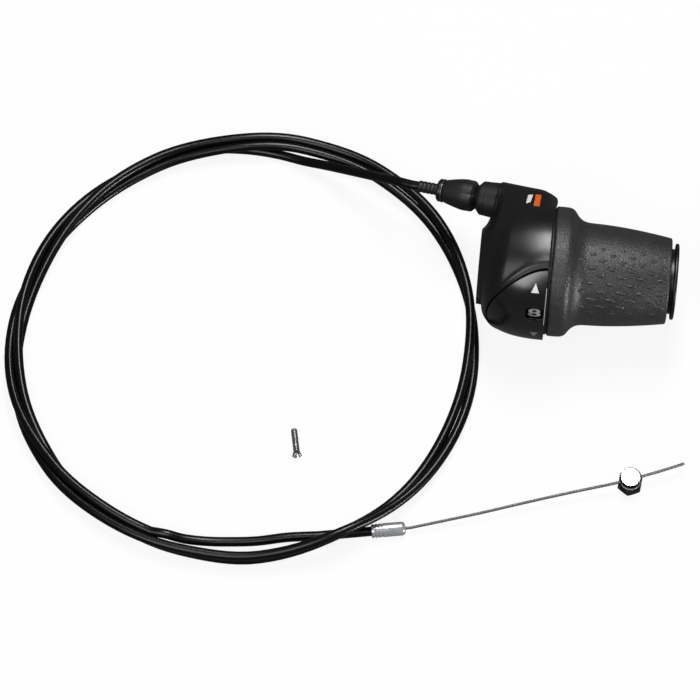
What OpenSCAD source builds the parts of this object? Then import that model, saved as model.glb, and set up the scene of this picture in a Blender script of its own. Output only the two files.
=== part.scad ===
// Right-hand twist-grip shifter for an eight-speed hub gear, with its coiled cable.
// The handlebar lies along X, the rider sits at -Y, and the shifter rests on a table below it.

/* [Handlebar] */
// Diameter of the handlebar
bar_d = 22.2; // [21:0.1:24]
// Radial play between the handlebar and the sleeve
bar_clear = 0.1; // [0.05:0.01:0.2]
// Wall of the sleeve that the grip turns on
sleeve_wall = 2; // [1.6:0.1:2.4]

/* [Body] */
// Length of the shell along the bar
body_len = 29.3; // [28.5:0.1:32]
// Radius of the shell at its open rim
body_r = 28.9; // [28:0.1:31]
// Radius of the shell's inboard face
nose_r = 16.5; // [16:0.1:18]
// Wall of the shell
shell_wall = 2; // [1.6:0.1:2.2]
// Radius of the shell's cable arm where it meets the port
arm_r = 7.6; // [7.3:0.1:8]
// Radius of the arm's rounded outboard end
arm_tip_r = 7.2; // [6.8:0.1:7.3]

/* [Bar clamp] */
// Radial thickness of the clamp ring
clamp_wall = 3.4; // [3:0.1:3.5]
// Width of the clamp ring along the bar
clamp_w = 8.2; // [7.6:0.1:8.6]
// Width of the clamp's slit
clamp_slit = 2; // [1.5:0.1:3]
// Diameter of the clamp bolt
clamp_bolt_d = 3; // [2.5:0.1:3.2]
// Thickness of the plate behind the clamp
plate_t = 1.5; // [1.2:0.1:1.8]

/* [Grip] */
// Gap between the shell's rim and the grip
grip_gap = 0.6; // [0.4:0.1:1]
// Length of the rubber
grip_len = 49; // [46:0.5:60]
// How far the grip's collar lies inside the shell's rim
collar_step = 1.9; // [1.5:0.1:2.4]
// Width of the collar's full-radius band
collar_w = 4.8; // [4.5:0.1:6]
// Length of the hollow shoulder behind the collar
shoulder_len = 11; // [9:0.5:13]
// Radius of the grip at its waist
waist_r = 20.95; // [20:0.05:22]
// Radius of the grip near its outboard end
tip_r = 17.9; // [17.4:0.1:19]
// Wall of the grip's core
core_wall = 1.75; // [1.5:0.05:2]
// Thickness of the rubber over the core's flange
collar_rubber = 2; // [1.6:0.1:3]
// Radial gap between the shell's rim and the skirt that closes it from inside
skirt_gap = 0.4; // [0.3:0.05:0.6]
// Length of bare neck between the rubber and the end flange
neck_len = 1.6; // [1.2:0.1:3]
// Radius of the end flange
end_flange_r = 15.85; // [15:0.05:17]
// Thickness of the end flange
end_flange_t = 1.45; // [1.2:0.05:2.5]

/* [Indexing] */
// Number of gears
gears = 8; // [3:1:8]
// Turn of the grip for one gear, in degrees
gear_step = 16; // [14:0.5:17]
// Radius of the wire's centre on the drum
wind_r = 17; // [16.9:0.05:17.2]
// Width of the cable drum
drum_w = 4.2; // [4:0.1:4.5]
// Radius of the notched index ring
index_r = 18.5; // [18:0.1:18.7]
// Width of the index ring
index_w = 3.8; // [3:0.1:4]
// Radius of the detent roller
roller_r = 1.2; // [1:0.05:1.25]

/* [Indicator] */
// Wall of the indicator cover
cover_t = 1.8; // [1.4:0.1:2]
// Radius of the cover's round outline
cover_r = 23.9; // [22:0.1:24.5]
// Radial gap between the number ring and the shell
number_gap = 1.6; // [1.2:0.1:2.2]
// How far the number ring reaches past each side of the window
window_margin = 0.2; // [0.1:0.1:1]
// Height of the window round the bar
window_h = 6.4; // [5:0.1:7]

/* [Adjuster] */
// Length of the port collar
port_len = 10.2; // [9:0.1:11]
// Radius of the port collar
port_r = 7.05; // [6.8:0.05:7.2]
// Length of the adjuster barrel
barrel_len = 14.3; // [13:0.1:16]
// Radius of the barrel at its thick end
barrel_r = 6.5; // [6:0.1:6.8]
// Radius of the barrel at its thin end
barrel_tip_r = 4.8; // [4.5:0.1:5]
// Number of flutes on the barrel
flutes = 8; // [6:1:10]
// Diameter of the threaded stem
stem_d = 6; // [5.4:0.1:6.2]
// Length of the barrel's end ring
ring_len = 2.5; // [2:0.1:3]
// Length of the ribbed boot
boot_len = 8.6; // [7:0.1:10]
// Number of ribs on the boot
boot_ribs = 6; // [4:1:8]

/* [Cable] */
// Diameter of the cable housing
housing_d = 4; // [3.8:0.05:4.1]
// Diameter of the inner wire
wire_d = 1.2; // [1:0.05:1.3]
// Radius of the coil at the middle of its strands
coil_r = 95; // [94:0.1:96]
// How far the coil is drawn out into an oval
coil_oval = 1.5; // [0:0.1:2]
// Radius of the lay that the strands make round each other
lay_r = 2.8; // [2.75:0.05:3]
// Diameter of the ferrule
ferrule_d = 5.7; // [5.4:0.1:6]
// Length of the ferrule
ferrule_len = 14; // [13.5:0.1:15]

/* [Wire fixing bolt] */
// Width across the nut's flats
nut_af = 9.4; // [9:0.1:10]
// Height of the nut
nut_h = 3.8; // [3.2:0.1:4.5]
// Diameter of the bolt's head
head_d = 8.9; // [8.5:0.1:9.4]
// Width across the head's two flats
head_af = 7.9; // [7:0.1:8.4]
// Height of the head
head_h = 1.8; // [1.6:0.1:2.6]
// Diameter of the bolt's shank
shank_d = 5; // [4.5:0.1:5.2]

/* [End cap] */
// Length of the crimp cap
cap_len = 12.5; // [10:0.5:14]
// Diameter of the crimp cap's tube
cap_d = 2.6; // [2.4:0.1:3]
// Diameter of the crimp cap's flare
flare_d = 4; // [3.4:0.1:4.6]

/* [Clearances] */
// Radial play of a turning fit
run_clear = 0.05; // [0.03:0.01:0.08]
// Play of a fixed fit
seat_clear = 0.03; // [0.01:0.01:0.05]
// Gap along seams and between moving faces
seam = 0.15; // [0.1:0.01:0.3]

/* [Hidden] */
$fn = 64;

// Sleeve, core and end ring
bore_r = bar_d / 2 + bar_clear;
sleeve_r = bore_r + sleeve_wall;
clamp_r = bore_r + clamp_wall;
relief_w = 1;
plate_x = clamp_w + relief_w + 0.2;
plate_r = index_r + 2.7;
core_bore_r = sleeve_r + run_clear;
core_r = core_bore_r + core_wall;
collar_r = body_r - collar_step;
core_flange_r = collar_r - collar_rubber;
skirt_r = body_r - shell_wall - skirt_gap;
grip_x = body_len + grip_gap;
grip_end = grip_x + grip_len;
flange_x = grip_end + neck_len;
part_end = flange_x + end_flange_t;
snout_r = sleeve_r - 0.8;
snout_x = grip_end + 0.1;
hub_r = sleeve_r + 0.3;

// Parts on the core, one after the other along the bar
index_x = plate_x + plate_t + 0.5;
drum_x = index_x + index_w;
groove_x = drum_x + drum_w / 2;
drum_r = wind_r + 2.4;
number_end = body_len - 0.9;
number_x = drum_x + drum_w + 1.2;
number_w = number_end - number_x;
number_r = body_r - shell_wall - number_gap;
number_wall = 1.3;
skirt_x = number_end + seam;
number_web = 1.8;
key_w = 3;
key_h = 0.8;
core_start = index_x;
core_end = grip_end - 0.2;
core_flange_t = 3;

// Indicator: the cover's dome sits a little inside the shell
dome_x = 1.2;
dome_nose_r = 14;
dome_r = body_r;
dome_len = body_len - 0.3 - dome_x;
cover_x = body_len - 0.3;
cover_z = 2;
window_a = 155;
window_x = number_x + number_w / 2;
window_w = number_w - 2 * window_margin;

// Detent roller at rest in the last gear's notch
detent_a = 285;
detent_clear = 0.3;
notch_r = roller_r + 0.15;
roller_at = index_r + detent_clear + roller_r;
leaf_t = 0.4;
leaf_r = roller_at + roller_r + 0.1;
leaf_sweep = 48;
post_a = detent_a + leaf_sweep - 8;
rivet_r = 0.9;

// Port axis: through port_pos, leaning down and away from the rider
port_pos = [2, body_r - 1.2, 6];
port_down = 9.5;
port_out = 11.2;
port_dir = [
  -cos(port_down) * cos(port_out),
  cos(port_down) * sin(port_out),
  -sin(port_down)
];
port_back = -port_len / 2;
port_front = port_len / 2;
spigot_r = 5;
spigot_len = shell_wall + 0.2;
arm_lip = 0.8;
arm_end = -20.6;
barrel_at = port_front + 0.6;
barrel_end = barrel_at + barrel_len;
stem_r = stem_d / 2;
stem_at = port_back + 1.5;
stem_end = barrel_at + 4.5;
seat_at = stem_end + 0.2;
seat_wall = 0.75;
seat_floor = 1.5;
seat_r = housing_d / 2 + seat_clear + seat_wall;
ring_end = barrel_end + ring_len;
boot_at = ring_end;
boot_end = boot_at + boot_len;
boot_r = housing_d / 2 + seat_clear + 0.42;
lead_at = seat_at + seat_floor + seat_clear;
wire_hole_r = wire_d / 2 + 0.3;

// Wire from the drum to the port: it leaves the drum at a tangent and turns once
turn_t = -(groove_x - port_pos[0]) / -port_dir[0];
turn_point = port_pos + turn_t * port_dir;
turn_reach = norm([turn_point[1], turn_point[2]]);
tangent_a = atan2(turn_point[2], turn_point[1]) + acos(wind_r / turn_reach);
tangent_point = [groove_x, wind_r * cos(tangent_a), wind_r * sin(tangent_a)];
run_dir = unit(turn_point - tangent_point);
bend_r = 5;
bend_a = acos(run_dir * port_dir);
bend_cut = bend_r * tan(bend_a / 2);
bend_in = unit(port_dir - (port_dir * run_dir) * run_dir);
bend_start = turn_point - bend_cut * run_dir;
guide_r = wire_hole_r + 0.7;
guide_lead = 2;
wound_a = (gears - 1) * gear_step + 30;
nipple_r = 1.8;
nipple_len = 4;

// Table under the shell, and the cable that lies on it
table_z = -body_r;
strand_r = housing_d / 2;
coil_mid = [-95, -34];
coil_from = 110;
coil_to = 972;
coil_step = 7.5;
coil_lean = 43.5;
coil_swing = 163;
oval_a = 50;
// How far the coil stands out of its oval, at even steps round it
coil_bulge = [1.2, 2, 2.2, 1.3, 0.3, -1.3, -0.3, 0.1, 0.1, 0.5, 0.9, -0.2, -1.1, -0.7, 0.8, 1.6, 1.3, 1];
lead_pass_a = 95;
lead_lift = 1.5;
tail_pass_a = 300;
tail_lift = 5.6;
pass_width = 13;
housing_sides = 8;

// Route of the lead from the boot to the coil, and of the tail from the coil to the ferrule, above the table
function on_table(route) = [for (p = route) p + [0, 0, table_z]];
lead_route = on_table([
  [-38, 35.2, 27.5], [-47, 41.6, 20.4], [-58, 46.9, 13.7], [-68.5, 50.9, 7.9], [-79, 54.3, 3.8],
  [-89, 56.9, 2.4], [-99, 58.1, 2.1], [-108, 58.1, 2.1], [-118, 57.2, 2.1]
]);
tail_route = on_table([
  [-117.5, -123.2, 5.6], [-110, -123.9, 3.9], [-101, -123.6, 2.6], [-91, -122.7, 2.2],
  [-80, -121.3, 2.3], [-68, -118.7, 2.8]
]);
ferrule_pos = [-34, -112.7, table_z + ferrule_d / 2];
ferrule_a = 11;
ferrule_dir = [cos(ferrule_a), sin(ferrule_a), 0];
ferrule_socket = 10;
tail_straight = 22;
wire_bore = 31.5;
wire_start = wire_bore - 0.5 - ferrule_socket;

// Route of the bare wire from the ferrule, through the fixing bolt, to its tip, above the table
bolt_pos = [70, -80.4, table_z];
bolt_wire_a = 21;
washer_t = 0.8;
washer_r = 4.3;
wire_z = nut_h + washer_t + wire_d / 2 + 0.1;
wire_route = on_table([
  [-9.5, -106.8, 3], [9, -100.8, 3.4], [27, -94.6, 3.9], [45.5, -88.5, 4.6],
  [62, -83.3, wire_z - 0.1], [70, -80.4, wire_z], [78, -77.2, wire_z], [85, -74.1, 5.1], [91.5, -71, 4.8]
]);
head_z = wire_z + wire_d / 2 + 0.1;

// Loose crimp cap on the table inside the coil
cap_pos = [-70.4, -69.6, table_z + cap_d / 2];
cap_a = -78;
cap_wall = 0.5;
cap_flare_len = 2;
cap_tilt = atan((flare_d - cap_d) / 2 / cap_len);

black = "#17181a";
gloss = "#0c0c0e";
rubber = "#3a3b3d";
steel = "#c9ccd0";
brass = "#b9a05a";
white = "#e8e8e6";

// Vectors and curves
function unit(v) = v / norm(v);
function port_point(t) = port_pos + t * port_dir;

// Radius of an egg-shaped nose that grows from nose at its start to full at the end of its length
function egg_r(x, len, nose, full) = nose + (full - nose) * sqrt(1 - pow((len - x) / len, 2));

// Outline of the egg from its nose to its rim, as radius and place along the bar
function egg(start, len, nose, full, steps = 14) = [
  for (i = [0 : steps]) let (x = len * pow(i / steps, 1.6)) [egg_r(x, len, nose, full), start + x]
];

// Radius of the grip at a distance from its inboard face
function shoulder(u) = (1 + cos(180 * pow(u, 0.73))) / 2;
taper_from = collar_w + shoulder_len + 1.2;
taper_to = grip_len - 1.4;
function grip_r(s) =
  s < collar_w ? collar_r
  : s < collar_w + shoulder_len ? waist_r + (collar_r - waist_r) * shoulder((s - collar_w) / shoulder_len)
  : s < taper_from ? waist_r
  : waist_r - (waist_r - tip_r) * pow((s - taper_from) / (taper_to - taper_from), 1.66);

// Points on a smooth curve through a list of points, with two steps from each point to the next
function between(a, b, c, d, u) = (2 * b + (c - a) * u + (2 * a - 5 * b + 4 * c - d) * u * u
  + (3 * b - a - 3 * c + d) * u * u * u) / 2;
function smooth(p) = concat(
  [for (i = [0 : len(p) - 2]) each let (
    a = p[max(i - 1, 0)], b = p[i], c = p[i + 1], d = p[min(i + 2, len(p) - 1)]
  ) [b, between(a, b, c, d, 0.5)]],
  [p[len(p) - 1]]
);

// Coil: the strands lie round each other, and ride over the lead and the tail
function hump(angle, at) = let (off = ((angle - at + 180) % 360 + 360) % 360 - 180) exp(-pow(off / pass_width, 2));
function bulge(angle) = let (
  n = len(coil_bulge), place = ((angle % 360 + 360) % 360) * n / 360, i = floor(place),
  share = (1 - cos(180 * (place - i))) / 2
) coil_bulge[i % n] * (1 - share) + coil_bulge[(i + 1) % n] * share;
function coil_point(angle) = let (
  lay = coil_lean + angle / 3 - coil_swing * sin(angle),
  out = coil_r + coil_oval * cos(2 * (angle - oval_a)) + bulge(angle) + lay_r * cos(lay),
  up = strand_r + lay_r * (1 + sin(lay)) + lead_lift * hump(angle, lead_pass_a)
    + tail_lift * hump(angle, tail_pass_a)
) [coil_mid[0] + out * cos(angle), coil_mid[1] + out * sin(angle), table_z + up];
coil_turns = ceil((coil_to - coil_from) / coil_step);
coil_path = [for (i = [0 : coil_turns]) coil_point(coil_from + (coil_to - coil_from) * i / coil_turns)];
coil_in = unit(coil_path[1] - coil_path[0]);
coil_out = unit(coil_path[coil_turns] - coil_path[coil_turns - 1]);

lead_path = smooth(concat(
  [port_point(lead_at), port_point(boot_at), port_point(boot_end), port_point(boot_end + housing_d)],
  lead_route, [coil_path[0]]
));
tail_end = ferrule_pos + ferrule_socket * ferrule_dir;
tail_path = concat(
  smooth(concat([coil_path[coil_turns]], tail_route, [ferrule_pos - tail_straight * ferrule_dir])),
  [tail_end]
);
wire_out = ferrule_pos + ferrule_len * ferrule_dir;
wire_path = concat(
  [ferrule_pos - wire_start * ferrule_dir], smooth(concat([wire_out + 2 * ferrule_dir], wire_route))
);

// Least gap between strands, measured from point to point along the tubes' centre lines
function to_line(p, a, b) = let (u = max(0, min(1, (p - a) * (b - a) / ((b - a) * (b - a))))) norm(p - a - u * (b - a));
function least(path, other, skip) = min([
  for (i = [0 : len(path) - 1]) for (j = [0 : len(other) - 2])
    if (skip(i, j)) to_line(path[i], other[j], other[j + 1])
]) - housing_d;
far_apart = function(i, j) abs(i - j) > 12;
echo(coil_gap = least(coil_path, coil_path, far_apart));
echo(lead_gap = least(lead_path, coil_path, function(i, j) i < len(lead_path) - 3 || j > 12));
echo(tail_gap = least(tail_path, coil_path, function(i, j) i > 2 || j < coil_turns - 12));

// Tube of flat-sided rings along a path, with its ends square to start_dir and end_dir
module tube(path, r, sides, start_dir, end_dir) {
  last = len(path) - 1;
  dirs = [for (i = [0 : last])
    i == 0 ? start_dir : i == last ? end_dir : unit(unit(path[i + 1] - path[i]) + unit(path[i] - path[i - 1]))];
  points = [for (i = [0 : last]) let (
    side = unit(cross(dirs[i], [0, 0, 1])), up = cross(side, dirs[i])
  ) for (k = [0 : sides - 1]) path[i] + r * (cos(360 * k / sides) * side + sin(360 * k / sides) * up)];
  skin = [for (i = [0 : last - 1]) for (k = [0 : sides - 1]) let (
    a = i * sides + k, b = i * sides + (k + 1) % sides
  ) each [[a, b, a + sides], [b, b + sides, a + sides]]];
  caps = [for (k = [1 : sides - 2]) each [[0, k + 1, k], [last * sides, last * sides + k, last * sides + k + 1]]];
  polyhedron(points, concat(skin, caps));
}

// Places: round the bar from an angle, at an angle round the bar, and along the port
module around_bar(from = 0) { rotate([0, 90, 0]) rotate([0, 0, from + 90]) children(); }
module at_angle(a) { rotate([a, 0, 0]) children(); }
module along_port() { translate(port_pos) rotate([0, 90 + port_down, 180 - port_out]) children(); }
module at_bolt() { translate(bolt_pos) children(); }

// Ring round the bar between two places and two radii
module bar_ring(from, to, inner, outer) {
  around_bar() rotate_extrude() translate([inner, from]) square([outer - inner, to - from]);
}
// Round bar along the port between two places
module port_rod(from, to, r) { along_port() translate([0, 0, from]) cylinder(h = to - from, r = r); }
// Round rod that points straight out from the bar
module radial_rod(x, a, from, to, r) {
  at_angle(a) translate([x, from, 0]) rotate([-90, 0, 0]) cylinder(h = to - from, r = r);
}
// Key along the core, and the slots cut for it
module key(from, to, play) {
  translate([from, -key_w / 2 - play, core_r - 0.5]) cube([to - from, key_w + 2 * play, key_h + 0.5 + play]);
}

// Clamp and sleeve
ear_x = shell_wall + 1.2;
ear_w = clamp_w - ear_x - relief_w / 2 - 0.3;
ear_t = 4;
ear_bottom = clamp_r + 4;
clamp_bolt_x = ear_x + ear_w / 2;
clamp_bolt_z = -(clamp_r + 1.6);
clamp_head_r = clamp_bolt_d * 0.85;
ear_face = clamp_slit / 2 + ear_t;
clamp_nut_r = clamp_bolt_d / 2 + 0.5;
clamp_nut_t = 3;
boss_a = [232, 350];
post_r = index_r + 0.7;
boss_x = plate_x + plate_t / 2;
boss_r = 2.6;
boss_from = index_r + 0.7;
boss_to = egg_r(boss_x - boss_r - shell_wall, body_len - shell_wall, nose_r, body_r - shell_wall) - 0.4;
screw_r = 1.2;

module clamp_rod(from, to, r) {
  translate([clamp_bolt_x, from, clamp_bolt_z]) rotate([-90, 0, 0]) cylinder(h = to - from, r = r);
}
module bracket() {
  color(black) difference() {
    union() {
      around_bar() rotate_extrude() polygon([
        [bore_r, 0], [clamp_r, 0], [clamp_r, clamp_w], [sleeve_r, clamp_w],
        [sleeve_r, plate_x], [plate_r, plate_x], [plate_r, plate_x + plate_t], [sleeve_r, plate_x + plate_t],
        [sleeve_r, snout_x], [snout_r, snout_x], [snout_r, part_end - 0.3], [bore_r, part_end - 0.3]
      ]);
      translate([ear_x, -ear_face, -ear_bottom]) cube([ear_w, 2 * ear_face, ear_bottom - bore_r - 1.2]);
      around_bar(post_a) rotate_extrude(angle = 10) translate([post_r, plate_x + plate_t / 2])
        square([leaf_r - post_r - seat_clear, drum_x - plate_x - plate_t / 2]);
      for (a = boss_a) radial_rod(boss_x, a, boss_from, boss_to, boss_r);
    }
    translate([-1, -clamp_slit / 2, -2 * clamp_r]) cube([clamp_w + 1, clamp_slit, 2 * clamp_r]);
    around_bar(190) rotate_extrude(angle = 160) translate([bore_r - 1, clamp_w - relief_w / 2])
      square([clamp_wall + 2, relief_w]);
    clamp_rod(-2 * ear_face, 2 * ear_face, clamp_bolt_d / 2 + seam);
    clamp_rod(-2 * ear_face, -ear_face + clamp_nut_t, clamp_nut_r + seat_clear);
    for (a = boss_a) radial_rod(boss_x, a, boss_from - 0.5, boss_to + 1, screw_r + seat_clear);
    radial_rod(index_x + index_w / 2, post_a + 5, index_r, leaf_r + 1, rivet_r + seat_clear);
  }
}
module clamp_bolt() {
  color(steel) difference() {
    union() {
      clamp_rod(ear_face, ear_face + clamp_bolt_d, clamp_head_r);
      clamp_rod(-ear_face, ear_face + 0.5, clamp_bolt_d / 2);
    }
    translate([clamp_bolt_x, ear_face + clamp_bolt_d / 2, clamp_bolt_z]) rotate([-90, 0, 0])
      cylinder(h = clamp_bolt_d, r = clamp_bolt_d * 0.42, $fn = 6);
  }
}
module clamp_nut() {
  color(brass) difference() {
    clamp_rod(-ear_face, -ear_face + clamp_nut_t, clamp_nut_r);
    clamp_rod(-2 * ear_face, 0, clamp_bolt_d / 2 + seat_clear);
  }
}

// Shell with its cable arm, and the screws that hold it to the plate
module arm(shrink) {
  from = port_back + arm_lip - (shrink > 0 ? arm_lip + shrink : 0);
  r = arm_tip_r - shrink;
  along_port() rotate_extrude() polygon(concat(
    [[0, from], [arm_r - shrink, from]],
    [for (a = [0 : 18 : 90]) [r * cos(a), arm_end - r * sin(a)]]
  ));
}
module egg_solid(start, len, nose, full) {
  around_bar() rotate_extrude() polygon(concat([[0, start]], egg(start, len, nose, full), [[0, start + len]]));
}
screw_head_r = 2.2;
screw_head_from = egg_r(boss_x, body_len, nose_r, body_r) - shell_wall + 0.6;
screw_head_to = egg_r(boss_x, body_len, nose_r, body_r);

module shell_cavity() {
  around_bar() rotate_extrude() polygon(concat(
    [[0, shell_wall]],
    egg(shell_wall, body_len - shell_wall, nose_r, body_r - shell_wall),
    [[body_r - shell_wall, body_len + 1], [0, body_len + 1]]
  ));
}
module main_shell() {
  color(black) difference() {
    union() {
      egg_solid(0, body_len, nose_r, body_r);
      arm(0);
    }
    shell_cavity();
    arm(shell_wall);
    bar_ring(-1, shell_wall + 1, 0, clamp_r + seam);
    port_rod(port_back, port_front + 5, port_r + seat_clear);
    port_rod(port_back - shell_wall - 1, port_back + 1, spigot_r + seat_clear);
    translate([cover_x, -2, cover_z]) rotate([90, 0, 0]) cylinder(h = 2 * body_r, r = cover_r + seam);
    clamp_rod(ear_face + clamp_bolt_d, body_r, clamp_head_r + 0.3);
    for (a = boss_a) {
      radial_rod(boss_x, a, screw_head_from - 3, body_r, screw_r + seam);
      radial_rod(boss_x, a, screw_head_from, body_r + 2, screw_head_r + seam);
    }
  }
}
module shell_screws() {
  color(steel) for (a = boss_a) difference() {
    union() {
      radial_rod(boss_x, a, boss_from + 0.3, screw_head_from + 0.1, screw_r);
      radial_rod(boss_x, a, screw_head_from, screw_head_to, screw_head_r);
    }
    radial_rod(boss_x, a, screw_head_to - 0.8, screw_head_to + 1, 0.7);
  }
}

// Indicator: a thin piece of the dome inside the round outline, with a window in it
module dome_wall() {
  difference() {
    egg_solid(dome_x, dome_len, dome_nose_r, dome_r);
    egg_solid(dome_x + cover_t, dome_len - cover_t + 1, dome_nose_r - 1, dome_r - cover_t);
  }
}
module window_block(play) {
  at_angle(window_a) translate([window_x - window_w / 2 + play, body_r / 2, -window_h / 2 + play])
    cube([window_w - 2 * play, body_r, window_h - 2 * play]);
}
module indicator_cover() {
  color(gloss) difference() {
    intersection() {
      dome_wall();
      translate([cover_x, -2 - seam, cover_z]) rotate([90, 0, 0]) cylinder(h = 2 * body_r, r = cover_r);
    }
    window_block(0);
  }
}
module window_lens() {
  color(gloss) intersection() {
    dome_wall();
    window_block(seat_clear);
  }
}

// Cable port and the guide that turns the wire
module cable_port() {
  color(black) difference() {
    along_port() rotate_extrude() polygon([
      [0, port_back - spigot_len], [spigot_r, port_back - spigot_len], [spigot_r, port_back],
      [port_r, port_back], [port_r, port_front - 1.8], [port_r - 1.9, port_front], [0, port_front]
    ]);
    port_rod(port_back + 1, port_front + 1, stem_r + run_clear);
    port_rod(port_back - spigot_len - 1, port_back + 2, guide_r + seat_clear);
  }
}
module wire_guide() {
  guide_sides = 12;
  path = concat([bend_start - guide_lead * run_dir], bend_path, [port_point(port_back + 0.8)]);
  longer = concat([path[0] - run_dir], bend_path, [port_point(port_back + 2)]);
  color(white) difference() {
    tube(path, guide_r, guide_sides, run_dir, port_dir);
    tube(longer, wire_hole_r, guide_sides, run_dir, port_dir);
  }
}
bend_mid = bend_start + bend_r * bend_in;
bend_path = [for (a = [0 : bend_a / 6 : bend_a + 0.1]) bend_mid + bend_r * (sin(a) * run_dir - cos(a) * bend_in)];
run_path = concat([tangent_point], bend_path, [port_point(port_back), port_point(lead_at - seat_clear)]);
module wire_run() { color(steel) tube(run_path, wire_d / 2, housing_sides, run_dir, port_dir); }

// Detent: a leaf on the plate's post presses a roller over the index ring
module detent_spring() {
  color(steel) difference() {
    around_bar(detent_a - 4) rotate_extrude(angle = leaf_sweep + 6) translate([leaf_r, index_x + 0.1])
      square([leaf_t, index_w - 0.2]);
    radial_rod(index_x + index_w / 2, post_a + 5, leaf_r - 1, leaf_r + 2, rivet_r + seat_clear);
  }
}
module detent_roller() {
  color(steel) at_angle(detent_a) translate([index_x + 0.1, roller_at, 0]) rotate([0, 90, 0])
    cylinder(h = index_w - 0.2, r = roller_r);
}
module detent_rivet() {
  color(brass) union() {
    radial_rod(index_x + index_w / 2, post_a + 5, leaf_r - 1.4, leaf_r + leaf_t + 0.1, rivet_r);
    radial_rod(index_x + index_w / 2, post_a + 5, leaf_r + leaf_t + seat_clear, leaf_r + leaf_t + 0.6, rivet_r + 0.5);
  }
}

// Parts that turn with the grip
module grip_core() {
  flange_end = grip_x + 0.3 + core_flange_t;
  color(black) union() {
    around_bar() rotate_extrude() polygon([
      [core_bore_r, core_start], [core_r, core_start], [core_r, skirt_x], [skirt_r, skirt_x],
      [skirt_r, grip_x - seat_clear], [core_flange_r, grip_x - seat_clear], [core_flange_r, flange_end],
      [core_r, flange_end], [core_r, core_end], [core_bore_r, core_end]
    ]);
    key(core_start, grip_x - 0.5, 0);
  }
}
module grip_rubber() {
  round_r = 1.4;
  outer = [for (s = [round_r : 0.8 : taper_to]) [grip_r(s), grip_x + s]];
  edge = [for (a = [0 : 15 : 90]) [collar_r - round_r + round_r * sin(a), grip_x + round_r - round_r * cos(a)]];
  end_r = grip_r(taper_to);
  end_len = grip_len - taper_to;
  tail = [for (a = [0 : 15 : 90]) [end_r - end_len + end_len * cos(a), grip_x + taper_to + end_len * sin(a)]];
  color(rubber) difference() {
    around_bar() rotate_extrude() polygon(concat(
      [[core_r + seat_clear, grip_x]], edge, outer, tail, [[core_r + seat_clear, grip_end]]
    ));
    bar_ring(grip_x - 1, grip_x + 0.3 + core_flange_t + seat_clear, 0, core_flange_r + seat_clear);
  }
}
module index_ring() {
  color(white) difference() {
    bar_ring(index_x, drum_x, core_r + seat_clear, index_r);
    for (g = [0 : gears - 1]) at_angle(detent_a + g * gear_step) translate([index_x - 1, roller_at - 0.5, 0])
      rotate([0, 90, 0]) cylinder(h = index_w + 2, r = notch_r);
    key(index_x - 1, drum_x + 1, seat_clear);
  }
}
module nipple_at(play) {
  at_angle(tangent_a + wound_a) translate([groove_x, wind_r, 0]) translate([0, 0, -play])
    cylinder(h = nipple_len + 2 * play, r = nipple_r + play);
}
module cable_drum() {
  color(white) difference() {
    bar_ring(drum_x, drum_x + drum_w, core_r + seat_clear, drum_r);
    around_bar() rotate_extrude() union() {
      translate([wind_r, groove_x]) circle(r = wire_d / 2 + seam);
      translate([wind_r, groove_x - wire_d / 2 - seam]) square([drum_r, wire_d + 2 * seam]);
    }
    nipple_at(seam);
    key(drum_x - 1, drum_x + drum_w + 1, seat_clear);
  }
}
module number_ring() {
  hub = 1.5;
  color(black) difference() {
    union() {
      bar_ring(number_x, number_end, number_r - number_wall, number_r);
      bar_ring(number_end - number_web, number_end, core_r + seat_clear, number_r);
      bar_ring(drum_x + drum_w, number_end, core_r + seat_clear, core_r + hub);
    }
    key(drum_x, body_len + 1, seat_clear);
  }
}
module wire_nipple() { color(brass) nipple_at(0); }
module wire_wrap() {
  color(steel) around_bar(tangent_a) rotate_extrude(angle = wound_a) translate([wind_r, groove_x]) circle(r = wire_d / 2);
}

// Snap ring with its flange at the outboard end of the sleeve
module end_ring() {
  color(gloss) around_bar() rotate_extrude() polygon([
    [snout_r + seat_clear, snout_x], [hub_r, snout_x], [hub_r, flange_x], [end_flange_r, flange_x],
    [end_flange_r, part_end - 0.4], [end_flange_r - 0.4, part_end], [snout_r + seat_clear, part_end]
  ]);
}

// Cable adjuster
module adjuster_barrel() {
  chamfer = 1.2;
  color(black) difference() {
    along_port() rotate_extrude() polygon([
      [0, barrel_at], [barrel_r - chamfer, barrel_at], [barrel_r, barrel_at + chamfer],
      [barrel_r, barrel_at + 4], [barrel_tip_r, barrel_end], [0, barrel_end]
    ]);
    for (k = [0 : flutes - 1]) along_port() rotate([0, 0, 360 * k / flutes])
      translate([barrel_r + 1.7, 0, barrel_at - 1]) rotate([0, -5, 0]) cylinder(h = barrel_len + 2, r = 2.2);
    port_rod(barrel_at - 1, stem_end, stem_r + seat_clear);
    port_rod(stem_end - 1, barrel_end + 1, seat_r + run_clear);
  }
}
module adjuster_stem() {
  color(brass) difference() {
    port_rod(stem_at, stem_end, stem_r);
    port_rod(stem_at - 1, stem_end + 1, wire_hole_r);
  }
}
module adjuster_ring() {
  lip = 0.6;
  color(gloss) difference() {
    along_port() rotate_extrude() polygon([
      [0, barrel_end + seat_clear], [barrel_tip_r, barrel_end + seat_clear], [barrel_tip_r, ring_end - lip],
      [barrel_tip_r - lip, ring_end], [0, ring_end]
    ]);
    port_rod(barrel_end - 1, ring_end + 1, seat_r + run_clear);
  }
}
module housing_seat() {
  color(black) difference() {
    port_rod(seat_at, boot_at, seat_r);
    port_rod(seat_at + seat_floor, boot_at + 1, housing_d / 2 + seat_clear);
    port_rod(seat_at - 1, seat_at + seat_floor + 1, wire_hole_r);
  }
}
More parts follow.
